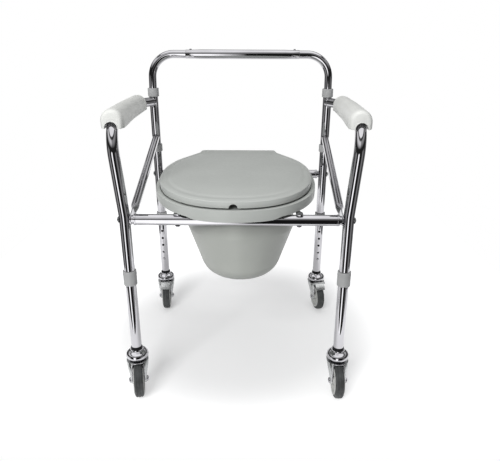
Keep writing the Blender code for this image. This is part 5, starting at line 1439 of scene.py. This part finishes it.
class COMMODE_OT_casters(Maker, Operator):
    """Make the stem sockets, housings, forks, wheels and brake pedals"""
    bl_idname = "commode.casters"
    bl_label = "Casters"

    def execute(self, context):
        make_stems()
        make_forks()
        make_wheels()
        make_pedals()
        return {"FINISHED"}


class COMMODE_OT_snap_buttons(Maker, Operator):
    """Give the four snap buttons their finish"""
    bl_idname = "commode.snap_buttons"
    bl_label = "Snap buttons"

    def execute(self, context):
        paint_buttons()
        return {"FINISHED"}


class COMMODE_OT_stage(Maker, Operator):
    """Set up the floor, the lights and the camera"""
    bl_idname = "commode.stage"
    bl_label = "Stage"

    def execute(self, context):
        stage = context.scene.commode_stage
        make_floor(stage)
        make_world(stage)
        soft_light("front_softbox", (-1.05, -2.5, 1.9), (0, 0.1, 0.4), (1.4, 1.4), stage.key)
        soft_light("overhead_softbox", (0, 0.2, 2.6), (0, 0, 0.3), (1.6, 0.9), stage.overhead)
        make_camera(stage)
        context.scene.view_settings.view_transform = "Standard"
        return {"FINISHED"}


OPERATORS = (
    COMMODE_OT_stage, COMMODE_OT_side_tubes, COMMODE_OT_uprights, COMMODE_OT_back_bar, COMMODE_OT_collars,
    COMMODE_OT_crossbars, COMMODE_OT_bolts, COMMODE_OT_side_stays, COMMODE_OT_pail_rails,
    COMMODE_OT_arm_pads, COMMODE_OT_seat_ring, COMMODE_OT_lid, COMMODE_OT_pail, COMMODE_OT_sliding_legs,
    COMMODE_OT_casters, COMMODE_OT_snap_buttons,
)
GROUPS = {"commode_sizes": CommodeSizes, "commode_colours": CommodeColours, "commode_stage": CommodeStage}


class COMMODE_PT_panel(Panel):
    """Lists the pieces of the chair"""
    bl_label = "Commode chair"
    bl_idname = "COMMODE_PT_panel"
    bl_space_type = "VIEW_3D"
    bl_region_type = "UI"
    bl_category = "Commode chair"

    def draw(self, context):
        column = self.layout.column()
        for piece in OPERATORS:
            column.operator(piece.bl_idname)
        for group, kind in GROUPS.items():
            for name in kind.__annotations__:
                column.prop(getattr(context.scene, group), name)


CLASSES = (*GROUPS.values(), *OPERATORS, COMMODE_PT_panel)


def register():
    for item in CLASSES:
        bpy.utils.register_class(item)
    for group, kind in GROUPS.items():
        setattr(bpy.types.Scene, group, PointerProperty(type=kind))


def unregister():
    for group in GROUPS:
        delattr(bpy.types.Scene, group)
    for item in reversed(CLASSES):
        bpy.utils.unregister_class(item)


def main():
    register()
    for piece in OPERATORS:
        getattr(bpy.ops.commode, piece.bl_idname.split(".")[1])()


if __name__ == "__main__":
    main()
